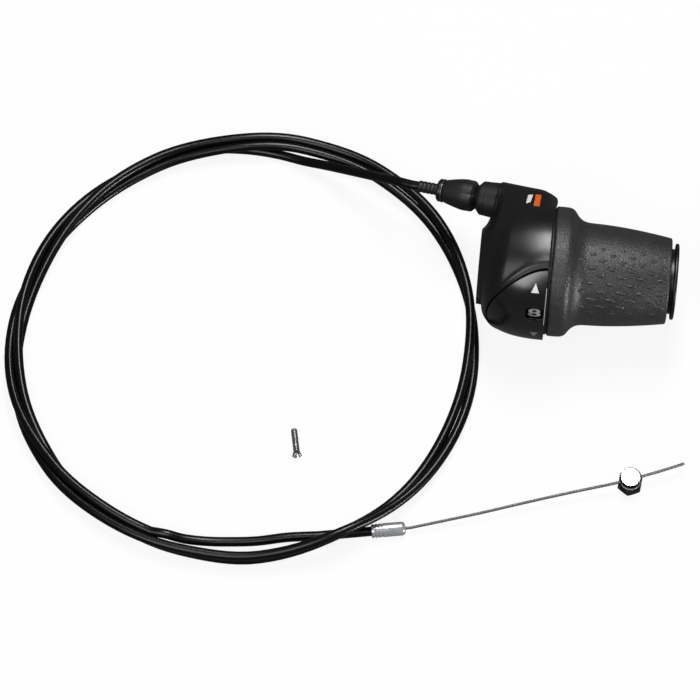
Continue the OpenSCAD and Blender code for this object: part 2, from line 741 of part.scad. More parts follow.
module adjuster_boot() {
  pitch = boot_len / (boot_ribs + 0.5);
  groove = 0.3;
  color(black) difference() {
    port_rod(boot_at, boot_end, boot_r);
    for (k = [1 : boot_ribs]) along_port() rotate_extrude()
      translate([boot_r - groove, boot_at + k * pitch - pitch * 0.2]) square([1, pitch * 0.4]);
    port_rod(boot_at - 1, boot_end + 1, housing_d / 2 + seat_clear);
  }
}

// Cable housing, its ferrule, and the bare wire with its fixing bolt
module housing_lead() { color(black) tube(lead_path, strand_r, housing_sides, port_dir, coil_in); }
module housing_coil() { color(black) tube(coil_path, strand_r, housing_sides, coil_in, coil_out); }
module along_ferrule() { translate(ferrule_pos) rotate([0, 90, ferrule_a]) children(); }
module housing_tail() {
  color(black) difference() {
    tube(tail_path, strand_r, housing_sides, coil_out, ferrule_dir);
    along_ferrule() translate([0, 0, ferrule_socket - wire_bore]) cylinder(h = wire_bore + 1, r = wire_hole_r);
  }
}
module housing_ferrule() {
  nose = 1.2;
  color(steel) difference() {
    along_ferrule() rotate_extrude() polygon([
      [0, 0], [ferrule_d / 2, 0], [ferrule_d / 2, ferrule_len - nose],
      [ferrule_d / 2 - nose, ferrule_len], [0, ferrule_len]
    ]);
    for (k = [0 : 2]) along_ferrule() rotate_extrude()
      translate([ferrule_d / 2 - 0.25, 1.2 + k * 1.6]) square([1, 0.7]);
    along_ferrule() translate([0, 0, -1]) cylinder(h = ferrule_socket + 1, r = housing_d / 2 + seat_clear);
    along_ferrule() cylinder(h = ferrule_len + 1, r = wire_hole_r);
  }
}
module inner_wire() {
  color(steel) tube(wire_path, wire_d / 2, housing_sides, ferrule_dir, unit(wire_route[8] - wire_route[7]));
}
module fixing_bolt() {
  color(steel) difference() {
    union() {
      at_bolt() cylinder(h = head_z + 0.5, r = shank_d / 2);
      intersection() {
        at_bolt() translate([0, 0, head_z]) cylinder(h = head_h, r = head_d / 2);
        at_bolt() rotate([0, 0, bolt_wire_a - 43]) translate([-head_af / 2, -head_d, head_z])
          cube([head_af, 2 * head_d, head_h]);
      }
    }
    at_bolt() translate([0, 0, wire_z]) rotate([0, 90, bolt_wire_a]) translate([0, 0, -head_d])
      cylinder(h = 2 * head_d, r = wire_d / 2 + seam);
  }
}
module fixing_washer() {
  color(steel) at_bolt() translate([0, 0, nut_h]) difference() {
    cylinder(h = washer_t, r = washer_r);
    translate([0, 0, -1]) cylinder(h = washer_t + 2, r = shank_d / 2 + seat_clear);
  }
}
module fixing_nut() {
  color(black) at_bolt() difference() {
    rotate([0, 0, 11.5]) cylinder(h = nut_h, r = nut_af / sqrt(3), $fn = 6);
    translate([0, 0, -1]) cylinder(h = nut_h + 2, r = shank_d / 2 + seat_clear);
  }
}

// Loose crimp cap
module wire_end_cap() {
  color(steel) translate(cap_pos) rotate([0, 90 - cap_tilt, cap_a]) rotate_extrude() polygon([
    [0, 0], [cap_d / 2 - 0.4, 0], [cap_d / 2, 0.4], [cap_d / 2, cap_len - cap_flare_len],
    [flare_d / 2, cap_len], [flare_d / 2 - cap_wall, cap_len],
    [cap_d / 2 - cap_wall, cap_len - cap_flare_len], [cap_d / 2 - cap_wall, 1], [0, 1]
  ]);
}

bracket();
clamp_bolt();
clamp_nut();
main_shell();
shell_screws();
indicator_cover();
window_lens();
cable_port();
wire_guide();
detent_spring();
detent_roller();
detent_rivet();
end_ring();
grip_core();
grip_rubber();
index_ring();
cable_drum();
number_ring();
wire_nipple();
wire_wrap();
wire_run();
adjuster_barrel();
adjuster_stem();
adjuster_ring();
housing_seat();
adjuster_boot();
housing_lead();
housing_coil();
housing_tail();
housing_ferrule();
inner_wire();
fixing_bolt();
fixing_washer();
fixing_nut();
wire_end_cap();
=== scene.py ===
import math

import bmesh
import bpy
import numpy as np
from bpy.props import FloatProperty, FloatVectorProperty, IntProperty, PointerProperty
from mathutils import Matrix, Vector


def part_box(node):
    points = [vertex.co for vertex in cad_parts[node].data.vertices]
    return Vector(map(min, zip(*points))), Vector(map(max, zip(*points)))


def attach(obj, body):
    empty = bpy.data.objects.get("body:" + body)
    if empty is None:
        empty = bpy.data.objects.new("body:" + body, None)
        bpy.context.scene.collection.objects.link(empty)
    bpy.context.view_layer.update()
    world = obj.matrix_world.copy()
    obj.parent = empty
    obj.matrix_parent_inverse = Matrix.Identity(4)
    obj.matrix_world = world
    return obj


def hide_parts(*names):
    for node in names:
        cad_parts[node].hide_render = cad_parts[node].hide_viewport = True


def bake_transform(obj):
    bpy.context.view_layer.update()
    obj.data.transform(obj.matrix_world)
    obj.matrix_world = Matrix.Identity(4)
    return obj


bl_info = {
    "name": "Twist-grip shifter",
    "version": (1, 0, 0),
    "blender": (4, 5, 0),
    "location": "View3D > Sidebar > Shifter",
    "description": "Builds a twist-grip gear shifter with its coiled cable",
    "category": "Object",
}

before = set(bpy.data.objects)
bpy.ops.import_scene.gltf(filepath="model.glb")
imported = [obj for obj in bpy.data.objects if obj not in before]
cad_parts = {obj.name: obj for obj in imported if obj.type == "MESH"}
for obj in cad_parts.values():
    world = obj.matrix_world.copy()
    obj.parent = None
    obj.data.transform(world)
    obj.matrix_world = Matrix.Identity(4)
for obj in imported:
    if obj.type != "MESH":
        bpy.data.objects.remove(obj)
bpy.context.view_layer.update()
MM = 0.001

# The bar lies along X, and the cable port leans down and away from the rider.
GRIP_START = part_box("grip_rubber")[0][0] / MM
GRIP_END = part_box("grip_rubber")[1][0] / MM
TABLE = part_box("fixing_nut")[0][2] / MM
PORT = Vector((2.0, 27.7, 6.0))
PORT_DIR = Vector((-0.967502, 0.191570, -0.165048)).normalized()
FERRULE = Vector((-34.0, -112.7, -26.05))
FERRULE_DIR = Vector((math.cos(math.radians(11)), math.sin(math.radians(11)), 0.0))
BOLT = Vector((70.0, -80.4, TABLE))

# Stations along the port's axis, from the arm's face to the end of the boot
ARM_FACE = -5.1
PORT_FRONT = 5.1
BARREL = 5.7
HOUSING_START = 11.93
BARREL_END = 20.0
RING_END = 22.5
BOOT_END = 31.1
BOOT_RIBS = 5
GROOVE_TURN = math.radians(-24)

# Shell: a crowned barrel outboard of a crease, a tapered side inboard of it, and a brow that leans over
# the grip
SHELL_NOSE_R = 15.2
SHELL_HOLE_R = 14.75
SHELL_MOUTH_R = 28.1
SHELL_WALL = 2.0
SHELL_RIM = 0.6
UNDER_NOSE = 2.4
SIDE_SLOPE = 1.36
CREASE_X = 8.0
BARREL_CROWN = 3.2
BROW = 1.1
BROW_R = 4.0
BROW_X = 17
# Arm along the port's axis: its radius at the port and at its round end, where that end is, the length that
# it narrows over, and how far it stands past its face
ARM_R = 8.2
ARM_END_R = 7.95
ARM_END = -19.8
ARM_TAPER = 16.3
ARM_LIP = 0.8

# Cover: a blunt dome in a round opening of the shell, with a window over the gear number. Angles in degrees
DOME_X = 2.2
DOME_NOSE_R = 14.6
DOME_POWER = 2.5
COVER_X = 29.0
COVER_Z = 2.0
COVER_R = 23.85
OPENING_R = 24.4
WINDOW_X = 24.5
WINDOW_ANGLE = 156.5
NUMBER_ANGLE = 160.7
GEARS = 8
GEAR_STEP = 16
PRINT_LIFT = 0.04

# Grip: its edges' radii, where its shoulder ends, and the hollow that its core fills
COLLAR_EDGE = 1.4
TIP_EDGE = 0.9
SHOULDER = 17
FLANGE_R = 25.03
FLANGE_DEEP = 3.33
CORE_R = 15.03

# Route of the cable above the table, as in the part's source but for a straighter lead and closer strands
LEAD_ROUTE = (
    (-38, 36.4, 27.5), (-47, 41.3, 20.4), (-58, 46.4, 13.7), (-68.5, 50.9, 7.9), (-79, 54.3, 3.8),
    (-89, 56.9, 2.4), (-99, 58.1, 2.1), (-108, 58.1, 2.1), (-118, 57.2, 2.1),
)
TAIL_ROUTE = (
    (-117.5, -123.2, 5.6), (-110, -123.9, 3.9), (-101, -123.6, 2.6), (-91, -122.7, 2.2),
    (-80, -121.3, 2.3), (-68, -118.7, 2.8),
)
WIRE_ROUTE = (
    (-9.5, -106.8, 3), (9, -100.8, 3.4), (27, -94.6, 3.9), (45.5, -88.5, 4.6), (62, -83.3, 5.2),
    (70, -80.4, 5.3), (78, -77.2, 5.3), (85, -74.1, 5.1), (91.5, -71, 4.8),
)
# Coil: its middle, radius and ovalness, how far it stands out of the oval at even steps, and its first
# and last angle in degrees
COIL_MIDDLE = (-95, -34)
COIL_R = 95
COIL_OVAL = 1.5
COIL_BULGE = (1.2, 2, 2.2, 1.3, 0.3, -1.3, -0.3, 0.1, 0.1, 0.5, 0.9, -0.2, -1.1, -0.7, 0.8, 1.6, 1.3, 1)
COIL_FROM, COIL_TO = 110, 972
COIL_STEPS = 345
STRAND_R = 2.36
# In metres: the lead's two heights, the first for resting with the coil and the second for going out with the
# adjuster; place_piece doesn't read them.
LEAD_STILL = (0.0, 0.0, -0.016)
LEAD_MOVED = (0.0, 0.0, -0.002)
# Angles of the grip's rows of dashes, in degrees round the bar
DASH_ROWS = (86.2, 93.1, 100.6, 109.0, 117.0, 126.0, 135.3, 145.0, 154.5, 164.0)
# Corners of the prints on the arm: place along the bar, and angle round it in degrees
WHITE_BLOCK = ((17.8, 34.6), (19.7, 34.6), (19.0, 44.7), (17.2, 46.6))
ORANGE_BAR = ((20.7, 34.2), (22.8, 34.3), (22.6, 51.5), (20.3, 50.6))


def length_value(name, description, default):
    return FloatProperty(
        name=name, description=description, default=default, unit="LENGTH", subtype="DISTANCE")


def colour_value(name, description, default):
    return FloatVectorProperty(
        name=name, description=description, default=default, subtype="COLOR", size=3, min=0, max=1)


class ShifterSizes(bpy.types.PropertyGroup):
    """Sizes of the shifter that a user would change."""

    body_len: length_value("Body length", "Length of the shell along the bar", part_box("main_shell")[1][0])
    body_r: length_value("Body radius", "Radius of the shell at its open rim", 0.0289)
    collar_r: length_value("Collar radius", "Radius of the grip's collar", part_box("grip_rubber")[1][2])
    waist_r: length_value("Waist radius", "Radius of the grip behind its shoulder", 0.0212)
    tip_r: length_value("Tip radius", "Radius of the grip near its outboard end", 0.01805)
    housing_d: length_value("Housing diameter", "Diameter of the cable housing", 0.004)
    wire_d: length_value("Wire diameter", "Diameter of the stranded inner wire", 0.0012)
    dash_length: length_value("Dash length", "Length of the lens that a raised dash is the cap of", 0.0048)
    dash_width: length_value("Dash width", "Width of the lens that a raised dash is the cap of", 0.0017)
    dash_height: length_value("Dash height", "Half the thickness of that lens", 0.001)
    flutes: IntProperty(name="Barrel flutes", description="Flutes round the barrel", default=6, min=4, max=16)


class ShifterColours(bpy.types.PropertyGroup):
    """Colours of the shifter's finishes."""

    shell: colour_value("Shell", "Satin black of the shell", (0.0054, 0.0054, 0.006))
    panel: colour_value("Panel", "Gloss black of the indicator cover", (0.0035, 0.0035, 0.004))
    rubber: colour_value("Rubber", "Dark grey of the grip", (0.024, 0.024, 0.0252))
    housing: colour_value("Housing", "Black of the cable housing", (0.0024, 0.0024, 0.0028))
    alloy: colour_value("Alloy", "Silver of the ferrule, bolt and crimp cap", (0.66, 0.67, 0.69))
    mark: colour_value("Marks", "White of the printed marks", (0.72, 0.72, 0.73))
    # Painted shade: the lower pointer is printed in this grey, though it is the same white print as the upper
    # one
    faint_mark: colour_value("Pointer painted shade", "Grey of the lower pointer", (0.16, 0.16, 0.165))
    accent: colour_value("Accent", "Orange of the plain bar on the arm", (0.7, 0.115, 0.011))


def sizes():
    return bpy.context.scene.shifter_sizes


def colours():
    return bpy.context.scene.shifter_colours


# Curves and outlines

def along(side, point, way):
    """Frame at a point with Z along a way and X as near to a side as it can be."""
    z = Vector(way).normalized()
    y = z.cross(Vector(side)).normalized()
    x = y.cross(z)
    m = Matrix((x, y, z)).transposed().to_4x4()
    m.translation = Vector(point)
    return m


BAR = along((0, 1, 0), (0, 0, 0), (1, 0, 0))
PORT_FRAME = along((0, 0, 1), PORT, PORT_DIR)
FERRULE_FRAME = along((0, 0, 1), FERRULE, FERRULE_DIR)
BOLT_FRAME = along((1, 0, 0), BOLT, (0, 0, 1))


def ease(t):
    """Smooth step from 0 to 1."""
    t = np.clip(t, 0.0, 1.0)
    return t * t * (3 - 2 * t)


def soft_min(a, b, width):
    """Smaller of two values, with the corner between them rounded over a width."""
    h = np.maximum(width - np.abs(a - b), 0) / width
    return np.minimum(a, b) - h * h * width / 4


def dome_r(x):
    """Radius of the indicator cover's dome at places along the bar, in millimetres."""
    length, full = sizes().body_len / MM, sizes().body_r / MM
    reach = np.clip((length - x) / (length - DOME_X), 0.0, 1.0)
    return DOME_NOSE_R + (full - DOME_NOSE_R) * (1 - reach ** DOME_POWER) ** (1 / DOME_POWER)


def between(a, start, start_width, end, end_width):
    """Share that rises from 0 to 1 past a start and falls back past an end."""
    return ease((a - start) / start_width) * (1 - ease((a - end) / end_width))


def body_radius(x, turn):
    """Radius of the shell without its arm, at places along the bar and angles round it."""
    length, full = sizes().body_len / MM, sizes().body_r / MM
    a = np.degrees(turn) % 360
    under = between(a, 212, 18, 345, 15)
    barrel = full - BARREL_CROWN * ((length - x) / (length - CREASE_X)) ** 2
    lean = SIDE_SLOPE + 0.0035 * (np.clip(a, 50, 150) - 95)
    step = 1 - under * (1 - ease((x - 2.4) / 1.2))
    side = SHELL_NOSE_R + UNDER_NOSE * under + lean * (x - 0.3) * step
    body = soft_min(barrel, side, 4.5)
    low = np.maximum(dome_r(x), SHELL_NOSE_R - 0.25)
    body = body + (low - body) * between(a, 170, 16, 212, 16)
    front = ease(-body * np.cos(turn) / 6)
    away = np.hypot(x - COVER_X, body * np.sin(turn) - COVER_Z) - OPENING_R
    body = body + (low - body) * front * np.exp(-(np.maximum(away, 0) / 2.6) ** 2)
    lip = 0.3 * np.exp(-((away - 0.8) / 0.6) ** 2)
    return body + front * lip


def shell_radius(x, turn):
    """Radius of the shell's outside, with the cable arm blended into it."""
    base = body_radius(x, turn)
    p, d = np.array(PORT), np.array(PORT_DIR)

    def inside(r):
        pts = np.stack([x, r * np.cos(turn), r * np.sin(turn)], -1) - p
        t = pts @ d
        away = np.sqrt(np.maximum((pts ** 2).sum(-1) - t ** 2, 0))
        wide = ARM_R - (ARM_R - ARM_END_R) * np.clip((ARM_FACE + ARM_LIP - t) / ARM_TAPER, 0, 1)
        arm = np.where(t < ARM_END, np.sqrt(away ** 2 + (t - ARM_END) ** 2) - ARM_END_R, away - wide)
        arm = np.maximum(arm, t - ARM_FACE - ARM_LIP)
        return soft_min(arm, (r - base) * 0.85, 5.0)

    least, most, stride = 12.0, 40.0, 0.25
    low = np.full(base.shape, least)
    high = np.full(base.shape, least)
    found = np.zeros(base.shape, bool)
    for r in np.arange(most, least, -stride):
        now = inside(np.full(base.shape, r)) < 0
        new = now & ~found
        low[new], high[new] = r, r + stride
        found |= now
    for _ in range(16):
        mid = (low + high) / 2
        now = inside(mid) < 0
        low = np.where(now, mid, low)
        high = np.where(now, high, mid)
    return np.maximum((low + high) / 2, base)


def hull_radii(radii, turns):
    """Radii of the convex outline round a closed outline that holds the bar."""
    n = len(radii)
    pts = np.stack([radii * np.cos(turns), radii * np.sin(turns)], -1)
    start = int(np.argmax(radii))
    hull = []
    for k in range(n + 1):
        c = pts[(start + k) % n]
        while len(hull) > 1:
            a, b = pts[hull[-2] % n], pts[hull[-1] % n]
            if (b[0] - a[0]) * (c[1] - b[1]) - (b[1] - a[1]) * (c[0] - b[0]) > 0:
                break
            hull.pop()
        hull.append(start + k)
    out = radii.copy()
    for i, j in zip(hull, hull[1:]):
        a, d = pts[i % n], pts[j % n] - pts[i % n]
        for k in range(i + 1, j):
            turn = turns[k % n]
            out[k % n] = (a[0] * d[1] - a[1] * d[0]) / (math.cos(turn) * d[1] - math.sin(turn) * d[0])
    return out


def shell_grid(xs, turns):
    """Radii of the shell on a grid, with the hollow between arm and barrel filled and the brow rounded."""
    grid = shell_radius(*np.meshgrid(xs, turns, indexing="ij"))
    a = np.degrees(turns)
    share = 1 - ease((a - 75) / 20) + ease((a - 270) / 20)
    for i, x in enumerate(xs):
        grid[i] += (hull_radii(grid[i], turns) - grid[i]) * share * ease((x - 3) / 6)
    back = np.clip(sizes().body_len / MM - xs, 0, None)
    fall = np.sqrt(np.maximum(BROW_R ** 2 - (BROW_R - np.minimum(back, BROW_R)) ** 2, 0))
    cap = sizes().body_r / MM - 0.2 + fall + np.maximum(back - BROW_R, 0)
    return soft_min(grid, cap[:, None], 0.8)


def brow(x, turn):
    """How far the shell's upper rim leans out over the grip's collar at places on the shell."""
    off = (np.degrees(turn) - 25 + 180) % 360 - 180
    return BROW * np.exp(-(off / 30) ** 2) * ease((x - BROW_X) / (sizes().body_len / MM - BROW_X))


def grip_r(s):
    """Radius of the grip at a distance from its inboard face, in millimetres."""
    collar, waist, tip = sizes().collar_r / MM, sizes().waist_r / MM, sizes().tip_r / MM
    if s < SHOULDER:
        fall = 1 / (1 + math.exp((9.3 - s) / (0.95 + 0.4 * ease((s - 7.8) / 4))))
        return collar - (collar - waist) * fall
    return waist - (waist - tip) * ((s - SHOULDER) / 30.6) ** 1.66


def on_table(route):
    return [Vector(p) + Vector((0, 0, TABLE)) for p in route]


def smooth_path(points, steps):
    """Points on a smooth curve through a list of points."""
    points = [Vector(p) for p in points]
    out = []
    for i in range(len(points) - 1):
        a, b, c = points[max(i - 1, 0)], points[i], points[i + 1]
        d = points[min(i + 2, len(points) - 1)]
        for k in range(steps):
            u = k / steps
            out.append((2 * b + (c - a) * u + (2 * a - 5 * b + 4 * c - d) * u ** 2
                        + (3 * b - a - 3 * c + d) * u ** 3) / 2)
    return out + [points[-1]]


def coil_bulge(angle):
    """How far the coil stands out of its oval at an angle in degrees."""
    n = len(COIL_BULGE)
    place = (angle % 360) * n / 360
    i = int(place)
    share = (1 - math.cos(math.pi * (place - i))) / 2
    return COIL_BULGE[i % n] * (1 - share) + COIL_BULGE[(i + 1) % n] * share


def coil_point(angle):
    """Point of the coil at an angle in degrees: strands lie round each other and ride over lead and tail."""
    def hump(at):
        off = (angle - at + 180) % 360 - 180
        return math.exp(-(off / 13) ** 2)
    a = math.radians(angle)
    lay = math.radians(43.5 + angle / 3 - 163 * math.sin(a))
    oval = COIL_R + COIL_OVAL * math.cos(2 * (a - math.radians(50))) + coil_bulge(angle)
    out = oval + STRAND_R * math.cos(lay)
    over_lead, over_tail = 1.5 * hump(95), 5.6 * hump(300)
    up = sizes().housing_d / 2 / MM + STRAND_R * (1 + math.sin(lay)) + over_lead + over_tail
    return Vector((COIL_MIDDLE[0] + out * math.cos(a), COIL_MIDDLE[1] + out * math.sin(a), TABLE + up))


def housing_path():
    """Centre line of the housing from the adjuster's seat to the inside of the ferrule."""
    stride = (COIL_TO - COIL_FROM) / COIL_STEPS
    coil = [coil_point(COIL_FROM + stride * i) for i in range(COIL_STEPS + 1)]
    start = [PORT + PORT_DIR * t for t in (HOUSING_START, RING_END, BOOT_END, BOOT_END + 4)]
    lead = smooth_path(start + on_table(LEAD_ROUTE) + [coil[0]], 4)
    tail = smooth_path([coil[-1]] + on_table(TAIL_ROUTE) + [FERRULE - FERRULE_DIR * 22], 5)
    straight = [FERRULE - FERRULE_DIR * (22 - 4 * k) for k in range(1, 6)] + [FERRULE + FERRULE_DIR * 9.9]
    return lead[:-1] + coil + tail[1:] + straight


def wire_path():
    """Centre line of the bare wire from inside the tail, through the fixing bolt, to its tip."""
    hidden = [FERRULE - FERRULE_DIR * (21 - 3.6 * k) for k in range(10)]
    free = smooth_path([FERRULE + FERRULE_DIR * 16] + on_table(WIRE_ROUTE), 9)
    return hidden + free


def rounded(points, radii, steps=5):
    """Closed outline with each corner rounded by its own radius."""
    out = []
    n = len(points)
    for i in range(n):
        b = Vector(points[i])
        r = radii[i] if isinstance(radii, (list, tuple)) else radii
        u, v = Vector(points[i - 1]) - b, Vector(points[(i + 1) % n]) - b
        half = u.angle(v) / 2
        if r <= 0 or half > math.radians(88):
            out.append(tuple(b))
            continue
        cut = min(r / math.tan(half), 0.48 * u.length, 0.48 * v.length)
        r = cut * math.tan(half)
        u.normalize()
        v.normalize()
        centre = b + (u + v).normalized() * (r / math.sin(half))
        start, end = b + u * cut - centre, b + v * cut - centre
        a0 = math.atan2(start.y, start.x)
        turn = (math.atan2(end.y, end.x) - a0 + math.pi) % (2 * math.pi) - math.pi
        for k in range(steps + 1):
            a = a0 + turn * k / steps
            out.append((centre.x + r * math.cos(a), centre.y + r * math.sin(a)))
    return out


# Meshes

def lathe(outline, place, steps=96, shape=None):
    """Closed outline of radius and height turned round the Z axis of a frame."""
    bm = bmesh.new()
    rings = []
    for k in range(steps):
        a = 2 * math.pi * k / steps
        ring = []
        for r, h in outline:
            rr = shape(r, h, a) if shape else r
            ring.append(bm.verts.new(place @ Vector((rr * math.cos(a), rr * math.sin(a), h))))
        rings.append(ring)
    return skin_rings(bm, rings)


def skin_rings(bm, rings):
    """Joins closed outlines that follow each other in a circle."""
    n = len(rings[0])
    for p, q in zip(rings, rings[1:] + rings[:1]):
        for i in range(n):
            j = (i + 1) % n
            bm.faces.new((p[i], q[i], q[j], p[j]))
    return tidy(bm)


def tidy(bm):
    """Closes seams and poles and turns all faces outwards."""
    bmesh.ops.remove_doubles(bm, verts=bm.verts, dist=1e-5)
    bmesh.ops.dissolve_degenerate(bm, edges=bm.edges, dist=1e-6)
    bmesh.ops.recalc_face_normals(bm, faces=bm.faces)
    return bm


def merge(bm, other):
    """Adds the faces of another mesh, which is then freed."""
    made = {}
    for v in other.verts:
        made[v] = bm.verts.new(v.co)
    for f in other.faces:
        bm.faces.new([made[v] for v in f.verts])
    other.free()
    return bm


def slice_off(bm, point, normal):
    """Cuts away what lies past a plane and closes the cut."""
    geom = bm.verts[:] + bm.edges[:] + bm.faces[:]
    cut = bmesh.ops.bisect_plane(bm, geom=geom, plane_co=point, plane_no=normal, clear_outer=True)
    edges = [e for e in cut["geom_cut"] if isinstance(e, bmesh.types.BMEdge)]
    bmesh.ops.contextual_create(bm, geom=edges)
    return bm


def sweep(path, section, turn=0.0):
    """Closed tube of a section along a path, turned as it goes, with length and way round in its UV map."""
    bm = bmesh.new()
    layer = bm.loops.layers.uv.new("UVMap")
    n, m = len(path), len(section)
    rings, run = [], [0.0]
    for i in range(1, n):
        run.append(run[-1] + (path[i] - path[i - 1]).length)
    for i, p in enumerate(path):
        d = (path[min(i + 1, n - 1)] - path[max(i - 1, 0)]).normalized()
        side = d.cross(Vector((0, 0, 1))).normalized()
        up = side.cross(d)
        spin = turn * run[i]
        c, s = math.cos(spin), math.sin(spin)
        rings.append([bm.verts.new(p + side * (x * c - y * s) + up * (x * s + y * c)) for x, y in section])
    for i in range(n - 1):
        for k in range(m):
            j = (k + 1) % m
            f = bm.faces.new((rings[i][k], rings[i][j], rings[i + 1][j], rings[i + 1][k]))
            corners = ((run[i], k), (run[i], k + 1), (run[i + 1], k + 1), (run[i + 1], k))
            for loop, (u, v) in zip(f.loops, corners):
                loop[layer].uv = (u * MM, v / m)
    bm.faces.new(rings[0])
    bm.faces.new(rings[-1][::-1])
    bmesh.ops.recalc_face_normals(bm, faces=bm.faces)
    return bm


def circle(r, n):
    return [(r * math.cos(2 * math.pi * k / n), r * math.sin(2 * math.pi * k / n)) for k in range(n)]


def patch_mesh(x, r, turn):
    """Mesh of a grid of points, each at a place along the bar, a radius and an angle."""
    bm = bmesh.new()
    rows, cols = x.shape
    y, z = r * np.cos(turn), r * np.sin(turn)
    grid = [[bm.verts.new((x[i, j], y[i, j], z[i, j])) for j in range(cols)] for i in range(rows)]
    for i in range(rows - 1):
        for j in range(cols - 1):
            bm.faces.new((grid[i][j], grid[i][j + 1], grid[i + 1][j + 1], grid[i + 1][j]))
    return bm


def outward(bm):
    """Turns the faces of a thin sheet away from the bar."""
    bm.normal_update()
    wrong = []
    for f in bm.faces:
        middle = f.calc_center_median()
        if f.normal.y * middle.y + f.normal.z * middle.z < 0:
            wrong.append(f)
    if wrong:
        bmesh.ops.reverse_faces(bm, faces=wrong)
    return bm


def mesh_object(name, bm, angle=35):
    """Object at the origin from a mesh written in millimetres."""
    bmesh.ops.scale(bm, vec=(MM, MM, MM), verts=bm.verts)
    mesh = bpy.data.meshes.new(name)
    bm.to_mesh(mesh)
    bm.free()
    obj = bpy.data.objects.new(name, mesh)
    bpy.context.scene.collection.objects.link(obj)
    soften(mesh, angle)
    return obj


def soften(mesh, angle):
    """Smooth shading that keeps edges sharper than an angle."""
    mesh.polygons.foreach_set("use_smooth", [True] * len(mesh.polygons))
    mesh.set_sharp_from_angle(angle=math.radians(angle))


def cut(obj, cutters, operation="DIFFERENCE"):
    """Cuts an object by others, which are then removed."""
    for c in cutters:
        mod = obj.modifiers.new("Cut", "BOOLEAN")
        mod.operation = operation
        mod.solver = "EXACT"
        mod.object = c
    bake(obj)
    for c in cutters:
        mesh = c.data
        bpy.data.objects.remove(c)
        bpy.data.meshes.remove(mesh)
    return obj


def bake(obj):
    """Turns an object's modifiers into its mesh."""
    bpy.context.view_layer.update()
    done = obj.evaluated_get(bpy.context.evaluated_depsgraph_get())
    mesh = bpy.data.meshes.new_from_object(done)
    old = obj.data
    obj.modifiers.clear()
    obj.data = mesh
    mesh.name = obj.name
    bpy.data.meshes.remove(old)
    return obj


def thicken(obj, thickness):
    """Wall of a sheet, inwards from its faces."""
    wall = obj.modifiers.new("Wall", "SOLIDIFY")
    wall.thickness = thickness
    wall.offset = -1


def ease_edges(obj, width, segments, angle):
    """Small rounding of the edges sharper than an angle in degrees."""
    edge = obj.modifiers.new("Edge", "BEVEL")
    edge.width = width
    edge.segments = segments
    edge.limit_method = "ANGLE"
    edge.angle_limit = math.radians(angle)


def place_piece(obj, material, body, slot, replaces=(), bend=None):
    """Gives a piece its finish and the body that it moves with, or, given a bend, fixes its place in its mesh
    and gives it no body.
    """
    obj.data.materials.clear()
    obj.data.materials.append(material)
    if bend:
        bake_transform(obj)
    else:
        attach(obj, body)
    if replaces:
        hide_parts(*replaces)
    return obj


def turned(name, outline, place, steps, *placing):
    """Piece of a closed outline turned round the Z axis of a frame, with what place_piece needs."""
    return place_piece(mesh_object(name, lathe(outline, place, steps), 40), *placing)


# Nodes, shader node groups and finishes

def add_node(tree, kind, inputs=(), **settings):
    """New node with its settings, and its inputs set to values or joined to other nodes' outputs."""
    node = tree.nodes.new(kind)
    for name, value in settings.items():
        setattr(node, name, value)
    for name, value in dict(inputs).items():
        if isinstance(value, bpy.types.NodeSocket):
            tree.links.new(value, node.inputs[name])
        else:
            node.inputs[name].default_value = value
    return node


def effect_group(name, inputs, outputs):
    """New shader node group with a vector, float inputs with their defaults, and float outputs."""
    group = bpy.data.node_groups.new(name, "ShaderNodeTree")
    group.interface.new_socket("Vector", in_out="INPUT", socket_type="NodeSocketVector")
    for label, default in inputs.items():
        socket = group.interface.new_socket(label, in_out="INPUT", socket_type="NodeSocketFloat")
        socket.default_value = default
    for label in outputs:
        group.interface.new_socket(label, in_out="OUTPUT", socket_type="NodeSocketFloat")
    return group, add_node(group, "NodeGroupInput").outputs


def noise_of(tree, vector, size, detail):
    """Noise from 0 to 1 whose features have a size."""
    scale = add_node(tree, "ShaderNodeMath", {0: 1.0, 1: size}, operation="DIVIDE").outputs[0]
    noise = add_node(tree, "ShaderNodeTexNoise", {"Vector": vector, "Scale": scale, "Detail": detail})
    return noise.outputs["Fac"]


def spread(tree, value, low, high):
    """Maps a noise value to a range."""
    ramp = add_node(tree, "ShaderNodeMapRange", {
        "Value": value, "From Min": 0.3, "From Max": 0.7, "To Min": low, "To Max": high})
    return ramp.outputs["Result"]


def tint(tree, value, dark, light):
    """Colour between a dark and a light one."""
    mix = add_node(tree, "ShaderNodeMix", {"Factor": value, "A": (*dark, 1), "B": (*light, 1)},
                   data_type="RGBA")
    return mix.outputs["Result"]


def moulded_grain():
    """Fine moulded texture and the slow handling marks over it."""
    found = bpy.data.node_groups.get("Moulded grain")
    if found:
        return found
    defaults = {"Grain Size": 0.0004, "Mark Size": 0.012}
    group, given = effect_group("Moulded grain", defaults, ("Height", "Marks"))
    add_node(group, "NodeGroupOutput", {
        "Height": noise_of(group, given["Vector"], given["Grain Size"], 2.0),
        "Marks": noise_of(group, given["Vector"], given["Mark Size"], 4.0)})
    return group


def tool_marks():
    """Fine marks of worked metal, in its relief and its tone."""
    found = bpy.data.node_groups.get("Tool marks")
    if found:
        return found
    group, given = effect_group("Tool marks", {"Mark Size": 0.0003}, ("Height", "Tone"))
    noise = noise_of(group, given["Vector"], given["Mark Size"], 3.0)
    add_node(group, "NodeGroupOutput", {"Height": noise, "Tone": spread(group, noise, 0.8, 1.0)})
    return group


def new_material(name):
    mat = bpy.data.materials.new(name)
    mat.use_nodes = True
    mat.node_tree.nodes.clear()
    return mat, mat.node_tree


def effect(tree, group, values):
    """Outputs of a node group on the piece's own coordinates, with values for its other inputs."""
    where = add_node(tree, "ShaderNodeTexCoord")
    node = add_node(tree, "ShaderNodeGroup", {"Vector": where.outputs["Object"], **values}, node_tree=group)
    return node.outputs


def relief(tree, height, strength, depth):
    bump = add_node(tree, "ShaderNodeBump", {"Height": height, "Strength": strength, "Distance": depth})
    return bump.outputs["Normal"]


